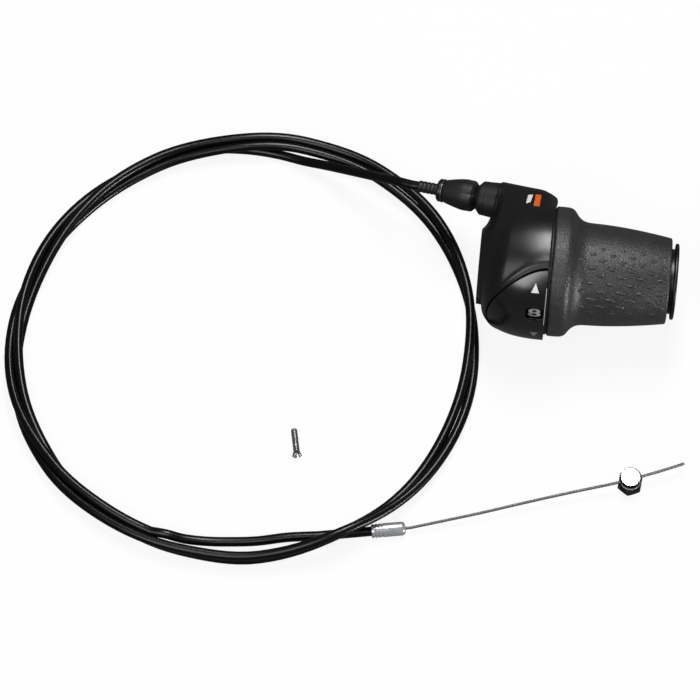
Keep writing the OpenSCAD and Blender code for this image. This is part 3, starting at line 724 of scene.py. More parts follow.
def surface(tree, inputs):
    """Principled shader as the material's surface."""
    shader = add_node(tree, "ShaderNodeBsdfPrincipled", inputs)
    add_node(tree, "ShaderNodeOutputMaterial", {"Surface": shader.outputs[0]})


def plastic(name, colour, rough, grain=0.0004, bump=0.1, depth=0.00003, marks=0.012, change=0.12, shine=0.5,
            grain_tone_and_glint=0.0):
    """Moulded plastic or rubber: handling marks change its colour and roughness, and its grain shows in the
    relief and, by the share given, in the colour, partly as grain tone and partly as painted glints on the
    grain."""
    found = bpy.data.materials.get(name)
    if found:
        return found
    mat, tree = new_material(name)
    skin = effect(tree, moulded_grain(), {"Grain Size": grain, "Mark Size": marks})
    tone = add_node(tree, "ShaderNodeMix", {
        "Factor": grain_tone_and_glint, "A": skin["Marks"], "B": spread(tree, skin["Height"], 0.0, 1.0)})
    dark = [c * (1 - change) for c in colour]
    light = [min(1.0, c * (1 + change)) for c in colour]
    sway = rough * min(change, 0.15)
    surface(tree, {
        "Base Color": tint(tree, tone.outputs["Result"], dark, light),
        "Roughness": spread(tree, skin["Marks"], rough - sway, rough + sway),
        "Normal": relief(tree, skin["Height"], bump, depth),
        "Specular IOR Level": shine})
    return mat


def metal(name, colour, rough, marks=0.0003, bump=0.15, bare=1.0):
    """Metal with fine tool marks and slight stains, and a dull film where it isn't all bare."""
    found = bpy.data.materials.get(name)
    if found:
        return found
    mat, tree = new_material(name)
    worked = effect(tree, tool_marks(), {"Mark Size": marks})
    stains = effect(tree, moulded_grain(), {"Mark Size": 0.004})
    surface(tree, {
        "Base Color": tint(tree, worked["Tone"], [c * 0.6 for c in colour], colour),
        "Roughness": spread(tree, stains["Marks"], rough * 0.75, rough * 1.3),
        "Normal": relief(tree, worked["Height"], bump, 0.00002),
        "Metallic": bare})
    return mat


def shell_black():
    return plastic("Satin shell", colours().shell, 0.32, grain=0.0003, depth=0.00002, marks=0.018, change=0.1,
                   shine=0.48)


def panel_black():
    return plastic("Gloss panel", colours().panel, 0.2, grain=0.004, bump=0.03, depth=0.00002, marks=0.01,
                   shine=1.0)


def ring_black():
    return plastic("Gloss ring", colours().panel, 0.36, grain=0.002, bump=0.05, marks=0.01)


def fitting_black():
    return plastic("Matt fitting", colours().shell, 0.5, grain=0.0003, bump=0.25, marks=0.008)


def dead_black():
    return plastic("Dead black", colours().panel, 0.6, shine=0.05)


def grip_grey():
    # Most of the grip's colour follows the grain: grain tone, and painted glints for the light specks on the
    # grain
    return plastic("Grip rubber", colours().rubber, 0.42, grain=0.00065, bump=0.8, depth=0.00032, marks=0.006,
                   change=0.5, shine=0.62, grain_tone_and_glint=0.85)


def housing_black():
    return plastic("Cable housing", colours().housing, 0.26, grain=0.0016, bump=0.06, depth=0.00004,
                   marks=0.03, change=0.15, shine=0.3)


def bright_alloy():
    return metal("Bright alloy", colours().alloy, 0.24, bump=0.08)


def satin_alloy():
    return metal("Satin alloy", [c * 0.75 for c in colours().alloy], 0.27, bump=0.02, bare=0.55)


def clear_window():
    mat = plastic("Clear window", colours().panel, 0.16, grain=0.004, bump=0.02, depth=0.00001, marks=0.01,
                  change=0.1, shine=0.27)
    mat.node_tree.nodes["Principled BSDF"].inputs["Alpha"].default_value = 0.12
    return mat


def ink(name, colour):
    return plastic(name, colour, 0.45, grain=0.0002, depth=0.00001, marks=0.002, change=0.06, shine=0.3)


class SHIFTER_OT_camera(bpy.types.Operator):
    """Camera at the photograph's viewing angle"""

    bl_idname = "shifter.camera"
    bl_label = "Camera"

    def execute(self, context):
        data = bpy.data.cameras.new("Camera")
        data.sensor_width = 36.0
        data.lens = 204.5
        data.clip_start = 0.05
        cam = bpy.data.objects.new("Camera", data)
        cam.location = (0.01767, -0.73170, 1.48155)
        cam.rotation_euler = (math.radians(25), 0, math.radians(5.58))
        context.scene.collection.objects.link(cam)
        context.scene.camera = cam
        return {"FINISHED"}


class SHIFTER_OT_cable(bpy.types.Operator):
    """Coiled cable housing, and the stranded wire that comes out of it"""

    bl_idname = "shifter.cable"
    bl_label = "Cable"

    def execute(self, context):
        path = housing_path()
        housing = mesh_object("cable_housing", sweep(path, circle(sizes().housing_d / 2 / MM, 20)), 60)
        place_piece(housing, housing_black(), "shifter", "housing",
                    ("housing_lead", "housing_coil", "housing_tail"),
                    bend=("adjuster_slide", LEAD_STILL, LEAD_MOVED))
        route = wire_path()
        wire = mesh_object("bare_wire", self.strands(route), 50)
        strand_grey = metal("Wire strands", (0.16, 0.16, 0.16), 0.42, marks=0.0004)
        place_piece(wire, strand_grey, "wire_end", "steel", ("inner_wire",))
        self.ferrule()
        self.fixing()
        return {"FINISHED"}

    def strands(self, route, count=6, lay=9, stride=0.45):
        """Twisted wire along a route, with the length of a twist and of a step along it in millimetres"""
        fine = []
        for a, b in zip(route, route[1:]):
            n = max(1, round((b - a).length / stride))
            fine += [a.lerp(b, k / n) for k in range(n)]
        fine.append(route[-1])
        section = []
        for k in range(count * 6):
            a = 2 * math.pi * k / (count * 6)
            r = sizes().wire_d / 2 / MM * (0.84 + 0.16 * abs(math.cos(count / 2 * a)))
            section.append((r * math.cos(a), r * math.sin(a)))
        return sweep(fine, section, turn=2 * math.pi / lay)

    def ferrule(self):
        """Crimped ferrule on the housing's end"""
        bore, full, pinch, wire_hole = 2.03, 2.85, 2.58, 0.9
        outline = [(bore, 0), (2.6, 0)]
        for k in range(3):
            t = 1.0 + 1.5 * k
            outline += [(full, t - 0.45), (full, t), (pinch, t + 0.2), (pinch, t + 0.5), (full, t + 0.7)]
        outline += [(full, 12.4), (2.72, 13.1), (2.35, 13.6), (1.7, 13.9), (wire_hole, 14.0), (wire_hole, 10),
                    (bore, 10)]
        return turned("cable_ferrule", outline, FERRULE_FRAME, 80, satin_alloy(), "shifter", "bright_alloy",
                      ("housing_ferrule",))

    def fixing(self):
        """Bolt with a flat-sided head, washer and black nut, clamped on the wire"""
        head_r, head_low, head_top, half_flats = 4.45, 6.0, 7.8, 3.95
        shank_r, hole_r, nut_top, washer_top, across = 2.5, 2.53, 3.8, 4.6, 9.4
        flat = Vector((math.cos(math.radians(158)), math.sin(math.radians(158)), 0))
        head = [(0, head_low), (head_r, head_low), (head_r, head_top), (0, head_top)]
        head = rounded(head, [0, 0.2, 0.55, 0])
        bm = lathe(head, BOLT_FRAME, 96)
        for side in (1, -1):
            slice_off(bm, BOLT + flat * half_flats * side, flat * side)
        shank = rounded([(0, 0.1), (shank_r, 0.1), (shank_r, 6.2), (0, 6.2)], [0, 0.3, 0, 0])
        merge(bm, lathe(shank, BOLT_FRAME, 64))
        bolt = mesh_object("clamp_head", bm, 35)
        place_piece(bolt, bright_alloy(), "wire_end", "steel", ("fixing_bolt",))
        # The head's sides and chamfer take a dark copy of the alloy, painted shade for the head's dark
        # outline; only the flat top stays bright
        bolt.data.materials.append(metal("Painted shade alloy", (0.016, 0.016, 0.017), 0.4))
        for face in bolt.data.polygons:
            face.material_index = 0 if face.normal.z > 0.99 else 1
        ring = rounded([(hole_r, nut_top), (4.3, nut_top), (4.3, washer_top), (hole_r, washer_top)], 0.15)
        washer = turned("clamp_washer", ring, BOLT_FRAME, 80, satin_alloy(), "wire_end", "steel",
                        ("fixing_washer",))
        corner = across / math.sqrt(3)
        body = [(hole_r, 0), (4.8, 0), (corner, 0.4), (corner, nut_top - 0.4), (4.8, nut_top),
                (hole_r, nut_top)]
        bm = lathe(body, BOLT_FRAME, 144)
        for k in range(6):
            a = math.radians(54 + 60 * k)
            way = Vector((math.cos(a), math.sin(a), 0))
            slice_off(bm, BOLT + way * across / 2, way)
        nut = mesh_object("clamp_hex", bm, 30)
        nut_black = plastic("Black nut", colours().housing, 0.42, bump=0.2, shine=0.3)
        place_piece(nut, nut_black, "wire_end", "black_steel", ("fixing_nut",))
        return [bolt, washer, nut]


class SHIFTER_OT_shell(bpy.types.Operator):
    """Satin shell with its blended cable arm and two plain prints"""

    bl_idname = "shifter.shell"
    bl_label = "Shell"

    def execute(self, context):
        length, full = sizes().body_len / MM, sizes().body_r / MM
        steps, rim_x = 480, length - SHELL_RIM
        xs = np.concatenate([np.linspace(0, 5, 27), np.linspace(5.3, rim_x, 80),
                             rim_x + SHELL_RIM * np.sin(np.linspace(0.25, 1, 5) * np.pi / 2)])
        turns = np.arange(steps) * 2 * np.pi / steps
        grid = shell_grid(xs, turns)
        outer = np.maximum(grid, SHELL_HOLE_R + 0.05)
        edge = np.clip((xs - rim_x) / SHELL_RIM, 0, 1)
        outer -= (SHELL_RIM * (1 - np.sqrt(1 - edge ** 2)))[:, None]
        deep = np.linspace(length, SHELL_WALL, 32)
        inner = body_radius(*np.meshgrid(deep, turns, indexing="ij")) - SHELL_WALL
        inner = np.clip(inner, SHELL_HOLE_R, full - SHELL_WALL)
        bm = bmesh.new()
        rings = []
        for k in range(steps):
            c, s = math.cos(turns[k]), math.sin(turns[k])
            pts = [(SHELL_HOLE_R, 0.0)] + list(zip(outer[:, k], xs + brow(xs, turns[k])))
            pts += [(min(SHELL_MOUTH_R, outer[-1, k] - 0.1), length)] + list(zip(inner[:, k], deep))
            rings.append([bm.verts.new((x, r * c, r * s)) for r, x in pts])
        shell = mesh_object("shell_body", skin_rings(bm, rings), 40)
        cut(shell, self.openings())
        ease_edges(shell, 0.00022, 2, 50)
        bake(shell)
        soften(shell.data, 40)
        place_piece(shell, shell_black(), "shifter", "black_plastic", ("main_shell",))
        for name, corners, print_ink in (
                ("white_block", WHITE_BLOCK, ink("White print", colours().mark)),
                ("orange_bar", ORANGE_BAR, ink("Orange print", colours().accent))):
            place_piece(shell_print(name, corners, xs, turns, grid), print_ink, "shifter", "white_plastic")
        return {"FINISHED"}

    def openings(self):
        """Round cutters for the cover, the port, the clamp's key and the two screws"""
        front = along((1, 0, 0), (COVER_X, 0, COVER_Z), (0, -1, 0))
        key = along((1, 0, 0), (5.3, 0, -16.2), (0, 1, 0))
        holes = [("cut_cover", OPENING_R, 2, 60, front, 192),
                 ("cut_port", 7.68, ARM_FACE, 16, PORT_FRAME, 96), ("cut_key", 2.85, 9, 40, key, 48)]
        for a in (232, 350):
            out = (0, math.cos(math.radians(a)), math.sin(math.radians(a)))
            holes.append(("cut_screw", 2.35, 24.48, 40, along((1, 0, 0), (10.15, 0, 0), out), 48))
        return [mesh_object(name, lathe([(0, low), (r, low), (r, high), (0, high)], place, steps))
                for name, r, low, high, place, steps in holes]


def shell_print(name, corners, xs, turns, grid, rows=14, cols=8):
    """Print on the shell's grid between four corners, each a place along the bar and an angle round it."""
    u, v = np.meshgrid(np.linspace(0, 1, cols + 1), np.linspace(0, 1, rows + 1))
    shares = ((1 - u) * (1 - v), u * (1 - v), u * v, (1 - u) * v)
    x = sum(w * c[0] for w, c in zip(shares, corners))
    turn = np.radians(sum(w * c[1] for w, c in zip(shares, corners)))
    i, j = np.searchsorted(xs, x) - 1, np.searchsorted(turns, turn) - 1
    s, t = (x - xs[i]) / (xs[i + 1] - xs[i]), (turn - turns[j]) / (turns[j + 1] - turns[j])
    r = ((grid[i, j] * (1 - t) + grid[i, j + 1] * t) * (1 - s)
         + (grid[i + 1, j] * (1 - t) + grid[i + 1, j + 1] * t) * s + PRINT_LIFT)
    return printed(name, patch_mesh(x + brow(x, turn), r, turn))


def printed(name, bm):
    """Object with the small thickness of a print, from its top faces."""
    obj = mesh_object(name, outward(bm), 80)
    thicken(obj, 0.00012)
    bake(obj)
    soften(obj.data, 60)
    return obj


class SHIFTER_OT_indicator(bpy.types.Operator):
    """Gloss indicator cover, its window, its printed marks, a painted highlight on its edge and the gear
    numbers behind it
    """

    bl_idname = "shifter.indicator"
    bl_label = "Indicator"

    def execute(self, context):
        cover = mesh_object("indicator_panel", self.dome(), 40)
        thicken(cover, 0.0016)
        ease_edges(cover, 0.0003, 3, 45)
        bake(cover)
        cut(cover, [mesh_object("cut_window", self.window_block())])
        soften(cover.data, 40)
        place_piece(cover, panel_black(), "shifter", "gloss_black", ("indicator_cover",))
        lens = mesh_object("number_window", self.dome(-0.01), 40)
        thicken(lens, 0.0012)
        bake(lens)
        cut(lens, [mesh_object("keep_window", self.window_block(0.06))], "INTERSECT")
        soften(lens.data, 40)
        place_piece(lens, clear_window(), "shifter", "clear_window", ("window_lens",))
        self.seat()
        self.marks()
        self.numbers()
        return {"FINISHED"}

    def dome(self, lift=0.0, rows=72, cols=96):
        """Outer face of the cover, within its round outline"""
        u, v = np.meshgrid(np.linspace(0, 1, rows + 1), np.linspace(-1, 1, cols + 1), indexing="ij")
        x = COVER_X - COVER_R * np.cos(np.pi / 2 * u ** 0.9)
        half = np.sqrt(np.maximum(COVER_R ** 2 - (COVER_X - x) ** 2, 0))
        r = dome_r(x) + lift
        return outward(tidy(patch_mesh(x, r, self.front_turn(r, COVER_Z + half * np.sin(np.pi / 2 * v)))))

    def front_turn(self, r, z):
        """Angles round the bar of points at the front, at a radius and a height"""
        return np.arctan2(z, -np.sqrt(np.maximum(r ** 2 - z ** 2, 0.01)))

    def window_block(self, play=0.0):
        """Block in the shape of the window, from inside the ring out past the cover"""
        w, h = 3.7 - play, 3.2 - play
        shape = rounded([(-w, -h), (w, -h), (w, h), (-w, h)], 1.0)
        a = math.radians(WINDOW_ANGLE)
        place = along((1, 0, 0), (WINDOW_X, 0, 0), (0, math.cos(a), math.sin(a)))
        bm = bmesh.new()
        low, top = ([bm.verts.new(place @ Vector((x, y, far))) for x, y in shape] for far in (15, 40))
        bm.faces.new(low)
        bm.faces.new(top)
        for k in range(len(shape)):
            j = (k + 1) % len(shape)
            bm.faces.new((low[k], low[j], top[j], top[k]))
        return tidy(bm)

    def seat(self):
        """Shelf under the joint between the cover and the shell"""
        far, turn = np.meshgrid(np.linspace(22.4, 25.2, 7), np.radians(np.linspace(-86, 86, 120)))
        x, z = COVER_X - far * np.cos(turn), COVER_Z + far * np.sin(turn)
        r = dome_r(x) - 1.7
        shelf = printed("cover_seat", patch_mesh(x, r, self.front_turn(r, z)))
        place_piece(shelf, dead_black(), "shifter", "black_plastic")

    def marks(self):
        """Pointers above and below the window, the lower one greyed as painted shade, and a painted highlight
        along the cover's edge
        """
        wide, tall = 3.3, 4.2
        v, side = np.meshgrid(np.linspace(0, 1, 11), (-1, 0, 1), indexing="ij")
        # The lower pointer's grey ink is painted shade on a white print
        for name, x0, a0, way, colour in (("upper_pointer", 24.1, 131.9, 1, colours().mark),
                                          ("lower_pointer", 25.0, 183.3, -1, colours().faint_mark)):
            x = x0 + side * wide / 2 * np.maximum(1 - v, 0.02)
            turn = math.radians(a0) - way * (v - 0.45) * tall / dome_r(x0)
            pointer = printed(name, patch_mesh(x, dome_r(x) + PRINT_LIFT, turn))
            place_piece(pointer, ink(name.replace("_", " "), colour), "shifter", "white_plastic")
        # A thin light-grey strip along the cover's right edge: a painted highlight where the edge catches the
        # light
        back, lift = np.array((0.42, 0.22, 0.06)), np.array((PRINT_LIFT, 0.03, -0.06))
        x, turn = np.meshgrid(COVER_X - back, np.radians(np.linspace(131, 167, 40)))
        edge = printed("cover_edge_painted_highlight", patch_mesh(x, dome_r(x) + lift, turn))
        place_piece(edge, ink("Painted edge highlight", (0.42, 0.42, 0.43)), "shifter", "white_plastic")

    def numbers(self):
        """Gear numbers round the ring behind the window, the last gear in view"""
        bm = bmesh.new()
        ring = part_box("number_ring")[1][2] / MM + 0.05
        for gear in range(1, GEARS + 1):
            flat = number_mesh(str(gear), 5.2, 4.4)
            middle = math.radians(NUMBER_ANGLE + GEAR_STEP * (GEARS - gear))
            made = {}
            for v in flat.verts:
                a = middle - v.co.y / ring
                made[v.index] = bm.verts.new((WINDOW_X + v.co.x, ring * math.cos(a), ring * math.sin(a)))
            for f in flat.faces:
                bm.faces.new([made[v.index] for v in f.verts])
            flat.free()
        place_piece(printed("gear_numbers", bm), ink("Number print", colours().mark), "grip", "white_plastic")


def number_mesh(text, wide, tall):
    """Flat numeral of a width and height in millimetres round its own middle, cut fine enough to bend."""
    curve = bpy.data.curves.new("numeral", "FONT")
    curve.body = text
    curve.offset = 0.018
    curve.resolution_u = 6
    obj = bpy.data.objects.new("numeral", curve)
    bpy.context.scene.collection.objects.link(obj)
    bpy.context.view_layer.update()
    mesh = bpy.data.meshes.new_from_object(obj.evaluated_get(bpy.context.evaluated_depsgraph_get()))
    bpy.data.objects.remove(obj)
    bpy.data.curves.remove(curve)
    bm = bmesh.new()
    bm.from_mesh(mesh)
    bpy.data.meshes.remove(mesh)
    bmesh.ops.triangulate(bm, faces=bm.faces)
    bmesh.ops.subdivide_edges(bm, edges=bm.edges, cuts=2, use_grid_fill=True)
    xs = [v.co.x for v in bm.verts]
    ys = [v.co.y for v in bm.verts]
    narrow, usual = 0.36, 0.55
    span = max(xs) - min(xs)
    for v in bm.verts:
        v.co.x = (v.co.x - (max(xs) + min(xs)) / 2) * wide / (usual if span < narrow else span)
        v.co.y = (v.co.y - (max(ys) + min(ys)) / 2) * tall / (max(ys) - min(ys))
    bm.verts.index_update()
    return bm


class SHIFTER_OT_grip(bpy.types.Operator):
    """Grained rubber grip with its raised dashes, and the gloss end ring"""

    bl_idname = "shifter.grip"
    bl_label = "Grip"

    def execute(self, context):
        length = GRIP_END - GRIP_START
        collar = sizes().collar_r / MM
        outer = [(collar - COLLAR_EDGE * (1 - math.sin(a)), COLLAR_EDGE * (1 - math.cos(a)))
                 for a in np.linspace(0, math.pi / 2, 8)]
        end = length - TIP_EDGE
        outer += [(grip_r(s), s) for s in np.linspace(COLLAR_EDGE + 0.3, end, 110)]
        outer += [(grip_r(end) - TIP_EDGE * (1 - math.cos(a)), end + TIP_EDGE * math.sin(a))
                  for a in np.linspace(0.12, math.pi / 2, 9)]
        hollow = [(CORE_R, length), (CORE_R, FLANGE_DEEP), (FLANGE_R, FLANGE_DEEP)]
        outline = [(r, GRIP_START + s) for r, s in [(FLANGE_R, 0)] + outer + hollow]
        turned("grip_sleeve", outline, BAR, 256, grip_grey(), "grip", "grip_rubber", ("grip_rubber",))
        place_piece(self.dashes(), grip_grey(), "grip", "grip_rubber")
        lo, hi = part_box("end_ring")
        x0, x1, r1 = lo[0] / MM, hi[0] / MM, hi[2] / MM
        bore, neck, step = 12.43, 13.5, x0 + 1.5
        shape = [(bore, x0), (neck, x0), (neck, step), (r1, step), (r1, x1), (bore, x1)]
        shape = rounded(shape, [0, 0.1, 0.25, 0.45, 0.6, 0.3])
        turned("end_flange", shape, BAR, 144, ring_black(), "shifter", "gloss_black", ("end_ring",))
        return {"FINISHED"}

    def dashes(self):
        """Points on the grip, each with a turn and a size, that a node tree sets a lens-shaped dash on."""
        mesh = bpy.data.meshes.new("dash_points")
        places, turns, scales = [], [], []
        for row, degrees in enumerate(DASH_ROWS):
            a = math.radians(degrees)
            size = min(1.0, 0.48 + 0.17 * row)
            for k in range(5 - row % 2):
                s = 12.4 + 8.25 * k + (4.15 if row % 2 else 0)
                slope = math.atan2(grip_r(s + 0.2) - grip_r(s - 0.2), 0.4)
                tall = (0.6 + 0.4 * size) * (1 - 0.24 * max(row - 6, 0))
                r = grip_r(s) - 0.42 * tall
                places.append(((GRIP_START + s) * MM, r * math.cos(a) * MM, r * math.sin(a) * MM))
                turns.append((a - math.pi / 2, -slope, 0.0))
                scales.append((size, 1.1 - 0.1 * size, tall))
        mesh.from_pydata(places, [], [])
        for name, values in (("turn", turns), ("dash_size", scales)):
            layer = mesh.attributes.new(name, "FLOAT_VECTOR", "POINT")
            layer.data.foreach_set("vector", [c for v in values for c in v])
        obj = bpy.data.objects.new("grip_dashes", mesh)
        bpy.context.scene.collection.objects.link(obj)
        mod = obj.modifiers.new("Dashes", "NODES")
        mod.node_group = dash_tree()
        values = {"Length": sizes().dash_length, "Width": sizes().dash_width, "Height": sizes().dash_height,
                  "Material": grip_grey()}
        for item in mod.node_group.interface.items_tree:
            if item.in_out == "INPUT" and item.name in values:
                mod[item.identifier] = values[item.name]
        bake(obj)
        soften(obj.data, 60)
        return obj


def dash_tree():
    """Sets one flattened lens on each point, with the point's own turn and size."""
    tree = bpy.data.node_groups.new("Grip dashes", "GeometryNodeTree")
    for label, kind in (("Geometry", "Geometry"), ("Length", "Float"), ("Width", "Float"),
                        ("Height", "Float"), ("Material", "Material")):
        tree.interface.new_socket(label, in_out="INPUT", socket_type="NodeSocket" + kind)
    tree.interface.new_socket("Geometry", in_out="OUTPUT", socket_type="NodeSocketGeometry")
    given = add_node(tree, "NodeGroupInput").outputs
    ball = add_node(tree, "GeometryNodeMeshUVSphere", {"Segments": 20, "Rings": 10, "Radius": 1.0})
    sides = []
    for label, share in (("Length", 0.5), ("Width", 0.5), ("Height", 1.0)):
        part = add_node(tree, "ShaderNodeMath", {0: given[label], 1: share}, operation="MULTIPLY")
        sides.append(part.outputs[0])
    size = add_node(tree, "ShaderNodeCombineXYZ", enumerate(sides))
    lens = add_node(tree, "GeometryNodeTransform", {
        "Geometry": ball.outputs["Mesh"], "Scale": size.outputs[0]})
    turn, dash_size = (
        add_node(tree, "GeometryNodeInputNamedAttribute", {"Name": label}, data_type="FLOAT_VECTOR")
        for label in ("turn", "dash_size"))
    rotation = add_node(tree, "FunctionNodeEulerToRotation", {0: turn.outputs["Attribute"]})
    put = add_node(tree, "GeometryNodeInstanceOnPoints", {
        "Points": given["Geometry"], "Instance": lens.outputs["Geometry"], "Rotation": rotation.outputs[0],
        "Scale": dash_size.outputs["Attribute"]})
    real = add_node(tree, "GeometryNodeRealizeInstances", {"Geometry": put.outputs["Instances"]})
    rubber = add_node(tree, "GeometryNodeSetMaterial", {
        "Geometry": real.outputs["Geometry"], "Material": given["Material"]})
    add_node(tree, "NodeGroupOutput", {"Geometry": rubber.outputs["Geometry"]})
    return tree


class SHIFTER_OT_adjuster(bpy.types.Operator):
    """Port collar, fluted barrel, end ring and ribbed boot"""

    bl_idname = "shifter.adjuster"
    bl_label = "Cable adjuster"

    def execute(self, context):
        collar = rounded(
            [(3.05, ARM_FACE + 1), (7.63, ARM_FACE), (7.63, -4.2), (7.8, -4.05), (7.8, -3.75), (7.6, -3.6),
             (7.22, 0.9), (7.05, 1.05), (7.05, 1.3), (7.2, 1.45), (7.17, 2.1), (7.0, 2.25), (7.0, 2.5),
             (7.14, 2.65), (7.08, PORT_FRONT - 1.8), (5.15, PORT_FRONT), (3.05, PORT_FRONT)],
            [0, 0.1, 0, 0.08, 0.08] + [0] * 9 + [0.7, 0.5, 0.2])
        turned("port_collar", collar, PORT_FRAME, 96, fitting_black(), "shifter", "black_plastic",
               ("cable_port",))
        barrel = mesh_object("barrel_knob", self.barrel(), 50)
        place_piece(barrel, fitting_black(), "adjuster", "black_plastic", ("adjuster_barrel",))
        low, bore, outside = BARREL_END + 0.03, 2.83, 4.8
        ring = [(bore, low), (outside, low), (outside, RING_END - 0.6), (4.2, RING_END), (bore, RING_END)]
        ring = rounded(ring, [0, 0.35, 0.5, 0.3, 0])
        turned("barrel_end_ring", ring, PORT_FRAME, 96, ring_black(), "adjuster", "gloss_black",
               ("adjuster_ring",))
        low, top, inside, outside = BARREL_END + 0.05, BARREL_END + 0.4, 4.3, 4.98
        trim = [(inside, low), (outside, low), (outside, top), (inside, top)]
        trim = rounded(trim, [0, 0.15, 0.15, 0])
        trim_grey = metal("Grey trim", (0.3, 0.3, 0.31), 0.35)
        turned("barrel_trim", trim, PORT_FRAME, 96, trim_grey, "adjuster", "steel")
        boot = mesh_object("ribbed_boot", self.boot(), 60)
        place_piece(boot, fitting_black(), "adjuster_slide", "black_plastic", ("adjuster_boot",))
        return {"FINISHED"}

    def barrel(self):
        """Barrel that narrows past its first quarter, with flutes that fade at both ends"""
        bore, full, crown, taper, straight, rows = 3.03, 6.5, 0.1, 1.7, 0.28, 22
        flutes = sizes().flutes

        def fluted(r, t, a):
            if r < 4.2:
                return r
            ends = min(1.0, max(0.0, (t - BARREL) / 0.8)) * min(1.0, max(0.0, (BARREL_END - t) / 4))
            valley = (0.5 + 0.5 * math.cos(flutes * (a - GROOVE_TURN))) ** 5
            deep = 0.2 + 0.5 * (BARREL_END - t) / (BARREL_END - BARREL)
            return r - deep * ends * valley

        outline = [(bore, BARREL), (5.0, BARREL), (5.3, BARREL + 0.25), (6.25, BARREL + 1.2)]
        for u, t in zip(np.linspace(0, 1, rows), np.linspace(BARREL + 1.7, BARREL_END - 0.8, rows)):
            fall = taper * (max(u - straight, 0) / (1 - straight)) ** 1.25
            outline.append((full + crown * math.sin(math.pi * u) - fall, t))
        outline += [(4.55, BARREL_END - 0.2), (4.4, BARREL_END), (bore, BARREL_END)]
        return lathe(outline, PORT_FRAME, 160, fluted)

    def boot(self):
        """Thin sleeve on the cable with round ribs"""
        bore, valley, rib = 2.03, 2.28, 0.24
        outline = [(bore, RING_END)]
        for u in np.linspace(0, 1, BOOT_RIBS * 10 + 1):
            bulge = (0.5 - 0.5 * math.cos(2 * math.pi * BOOT_RIBS * u)) ** 0.6
            outline.append((valley + rib * bulge, RING_END + (BOOT_END - RING_END) * u))
        outline.append((bore, BOOT_END))
        return lathe(outline, PORT_FRAME, 64)


class SHIFTER_OT_cap(bpy.types.Operator):
    """Loose crimp cap for the wire's end"""

    bl_idname = "shifter.cap"
    bl_label = "Crimp cap"

    def execute(self, context):
        tilt = math.atan(0.7 / 12.5)
        turn = math.radians(-78)
        way = Vector((math.cos(turn) * math.cos(tilt), math.sin(turn) * math.cos(tilt), math.sin(tilt)))
        place = along((0, 0, 1), (-70.4, -69.6, TABLE + 1.3), way)
        outline = [(0, 0), (0.8, 0.05), (1.15, 0.3), (1.3, 0.75), (1.3, 10.3), (1.42, 10.8), (1.7, 11.6),
                   (2.0, 12.4), (1.95, 12.5), (1.8, 12.45), (1.3, 11.2), (0.95, 10.4), (0.9, 1.2), (0, 1.0)]
        turned("crimp_cap", outline, place, 64, bright_alloy(), "shifter", "bright_alloy", ("wire_end_cap",))
        return {"FINISHED"}


class SHIFTER_OT_inner_parts(bpy.types.Operator):
    """Finishes of the clamp, drum, index ring, detent and other inner parts"""

    bl_idname = "shifter.inner_parts"
    bl_label = "Inner parts"

    def execute(self, context):
        steel = metal("Spring steel", (0.5, 0.51, 0.53), 0.3)
        brass = metal("Turned brass", (0.55, 0.4, 0.15), 0.3)
        nylon = plastic("White nylon", (0.7, 0.7, 0.67), 0.5, marks=0.006)
        black = fitting_black()
        finishes = {
            "bracket": black, "clamp_bolt": steel, "clamp_nut": brass, "shell_screws": steel,
            "wire_guide": nylon, "detent_spring": steel, "detent_roller": steel, "detent_rivet": brass,
            "grip_core": black, "index_ring": nylon, "cable_drum": nylon, "wire_nipple": brass,
            "wire_wrap": steel, "wire_run": steel, "adjuster_stem": black, "housing_seat": black,
            "number_ring": dead_black(),
        }
        for name, finish in finishes.items():
            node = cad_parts[name]
            node.data.materials.clear()
            node.data.materials.append(finish)
        return {"FINISHED"}


# Lamps: name, direction from the shell, distance, width, depth and power
LAMPS = (
    ("Overhead lamp", (0.0, 0.38, 0.92), 0.95, 0.2, 0.5, 6.8),
    ("Front lamp", (-0.31, -0.56, 0.77), 0.95, 0.5, 0.62, 4.1),
    ("Side lamp", (0.82, -0.57, 0.05), 0.95, 0.3, 0.12, 6.0),
)


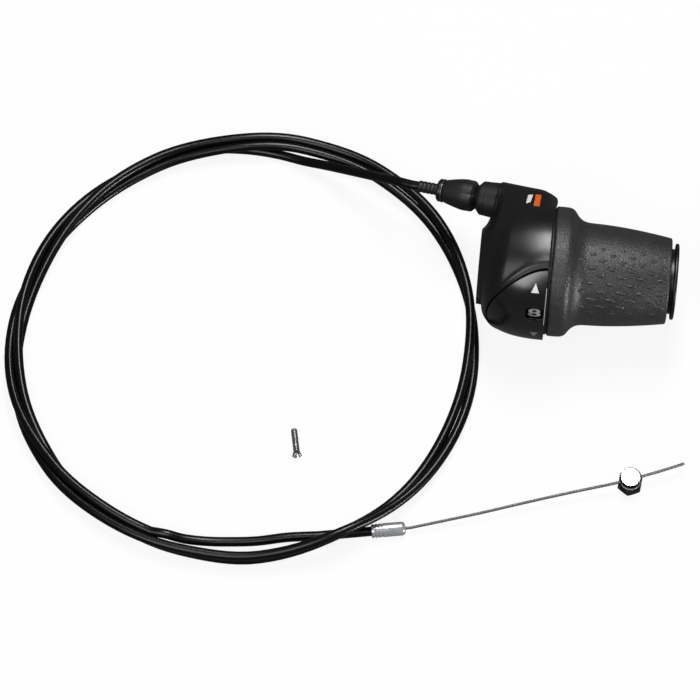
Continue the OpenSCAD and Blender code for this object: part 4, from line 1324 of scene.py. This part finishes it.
class SHIFTER_OT_stage(bpy.types.Operator):
    """White table and soft studio lamps"""

    bl_idname = "shifter.stage"
    bl_label = "Stage"

    def execute(self, context):
        bm = bmesh.new()
        bmesh.ops.create_grid(bm, x_segments=1, y_segments=1, size=20000)
        bmesh.ops.translate(bm, verts=bm.verts, vec=(0, 0, TABLE - 0.02))
        floor = mesh_object("table_top", bm)
        floor.data.materials.append(self.white_table())
        world = context.scene.world or bpy.data.worlds.new("World")
        context.scene.world = world
        world.use_nodes = True
        sky = world.node_tree.nodes["Background"]
        sky.inputs["Color"].default_value = (1, 1, 1, 1)
        sky.inputs["Strength"].default_value = 0.09
        for lamp in LAMPS:
            self.lamp(*lamp)
        context.scene.view_settings.view_transform = "Standard"
        return {"FINISHED"}

    def white_table(self):
        """White to the camera and in reflections, and darker in the light that it throws back"""
        mat, tree = new_material("White table")
        shade = (0.12, 0.12, 0.12)
        rays = add_node(tree, "ShaderNodeLightPath").outputs
        seen = rays["Is Camera Ray"]
        lit = add_node(tree, "ShaderNodeBsdfDiffuse", {"Color": tint(tree, seen, shade, (0.9, 0.9, 0.9))})
        plain = add_node(tree, "ShaderNodeEmission", {"Color": tint(tree, seen, shade, (1, 1, 1))})
        for label in ("Is Glossy Ray", "Is Transmission Ray"):
            seen = add_node(tree, "ShaderNodeMath", {0: seen, 1: rays[label]}, operation="MAXIMUM").outputs[0]
        share = add_node(tree, "ShaderNodeMath", {0: seen, 1: 0.88}, operation="MULTIPLY")
        mix = add_node(tree, "ShaderNodeMixShader", {
            0: share.outputs[0], 1: lit.outputs[0], 2: plain.outputs[0]})
        add_node(tree, "ShaderNodeOutputMaterial", {"Surface": mix.outputs[0]})
        return mat

    def lamp(self, name, way, far, wide, deep, power):
        data = bpy.data.lights.new(name, "AREA")
        data.shape = "RECTANGLE"
        data.size = wide
        data.size_y = deep
        data.energy = power
        way = Vector(way).normalized()
        obj = bpy.data.objects.new(name, data)
        obj.location = Vector((0.015, 0, 0)) + way * far
        obj.rotation_euler = (-way).to_track_quat("-Z", "Y").to_euler()
        bpy.context.scene.collection.objects.link(obj)


class SHIFTER_PT_panel(bpy.types.Panel):
    """Lists the shifter's pieces in the order that they are made"""

    bl_idname = "SHIFTER_PT_panel"
    bl_label = "Twist-grip shifter"
    bl_space_type = "VIEW_3D"
    bl_region_type = "UI"
    bl_category = "Shifter"

    def draw(self, context):
        for step in STEPS:
            self.layout.operator(step.bl_idname)
        for group in (context.scene.shifter_sizes, context.scene.shifter_colours):
            column = self.layout.column()
            for name in group.__annotations__:
                column.prop(group, name)


STEPS = (
    SHIFTER_OT_camera, SHIFTER_OT_cable, SHIFTER_OT_shell, SHIFTER_OT_indicator, SHIFTER_OT_grip,
    SHIFTER_OT_adjuster, SHIFTER_OT_cap, SHIFTER_OT_inner_parts, SHIFTER_OT_stage,
)
CLASSES = (ShifterSizes, ShifterColours, *STEPS, SHIFTER_PT_panel)


def register():
    for cls in CLASSES:
        bpy.utils.register_class(cls)
    bpy.types.Scene.shifter_sizes = PointerProperty(type=ShifterSizes)
    bpy.types.Scene.shifter_colours = PointerProperty(type=ShifterColours)


def unregister():
    del bpy.types.Scene.shifter_colours
    del bpy.types.Scene.shifter_sizes
    for cls in reversed(CLASSES):
        bpy.utils.unregister_class(cls)


def main():
    register()
    for step in STEPS:
        group, name = step.bl_idname.split(".")
        getattr(getattr(bpy.ops, group), name)()


if __name__ == "__main__":
    main()
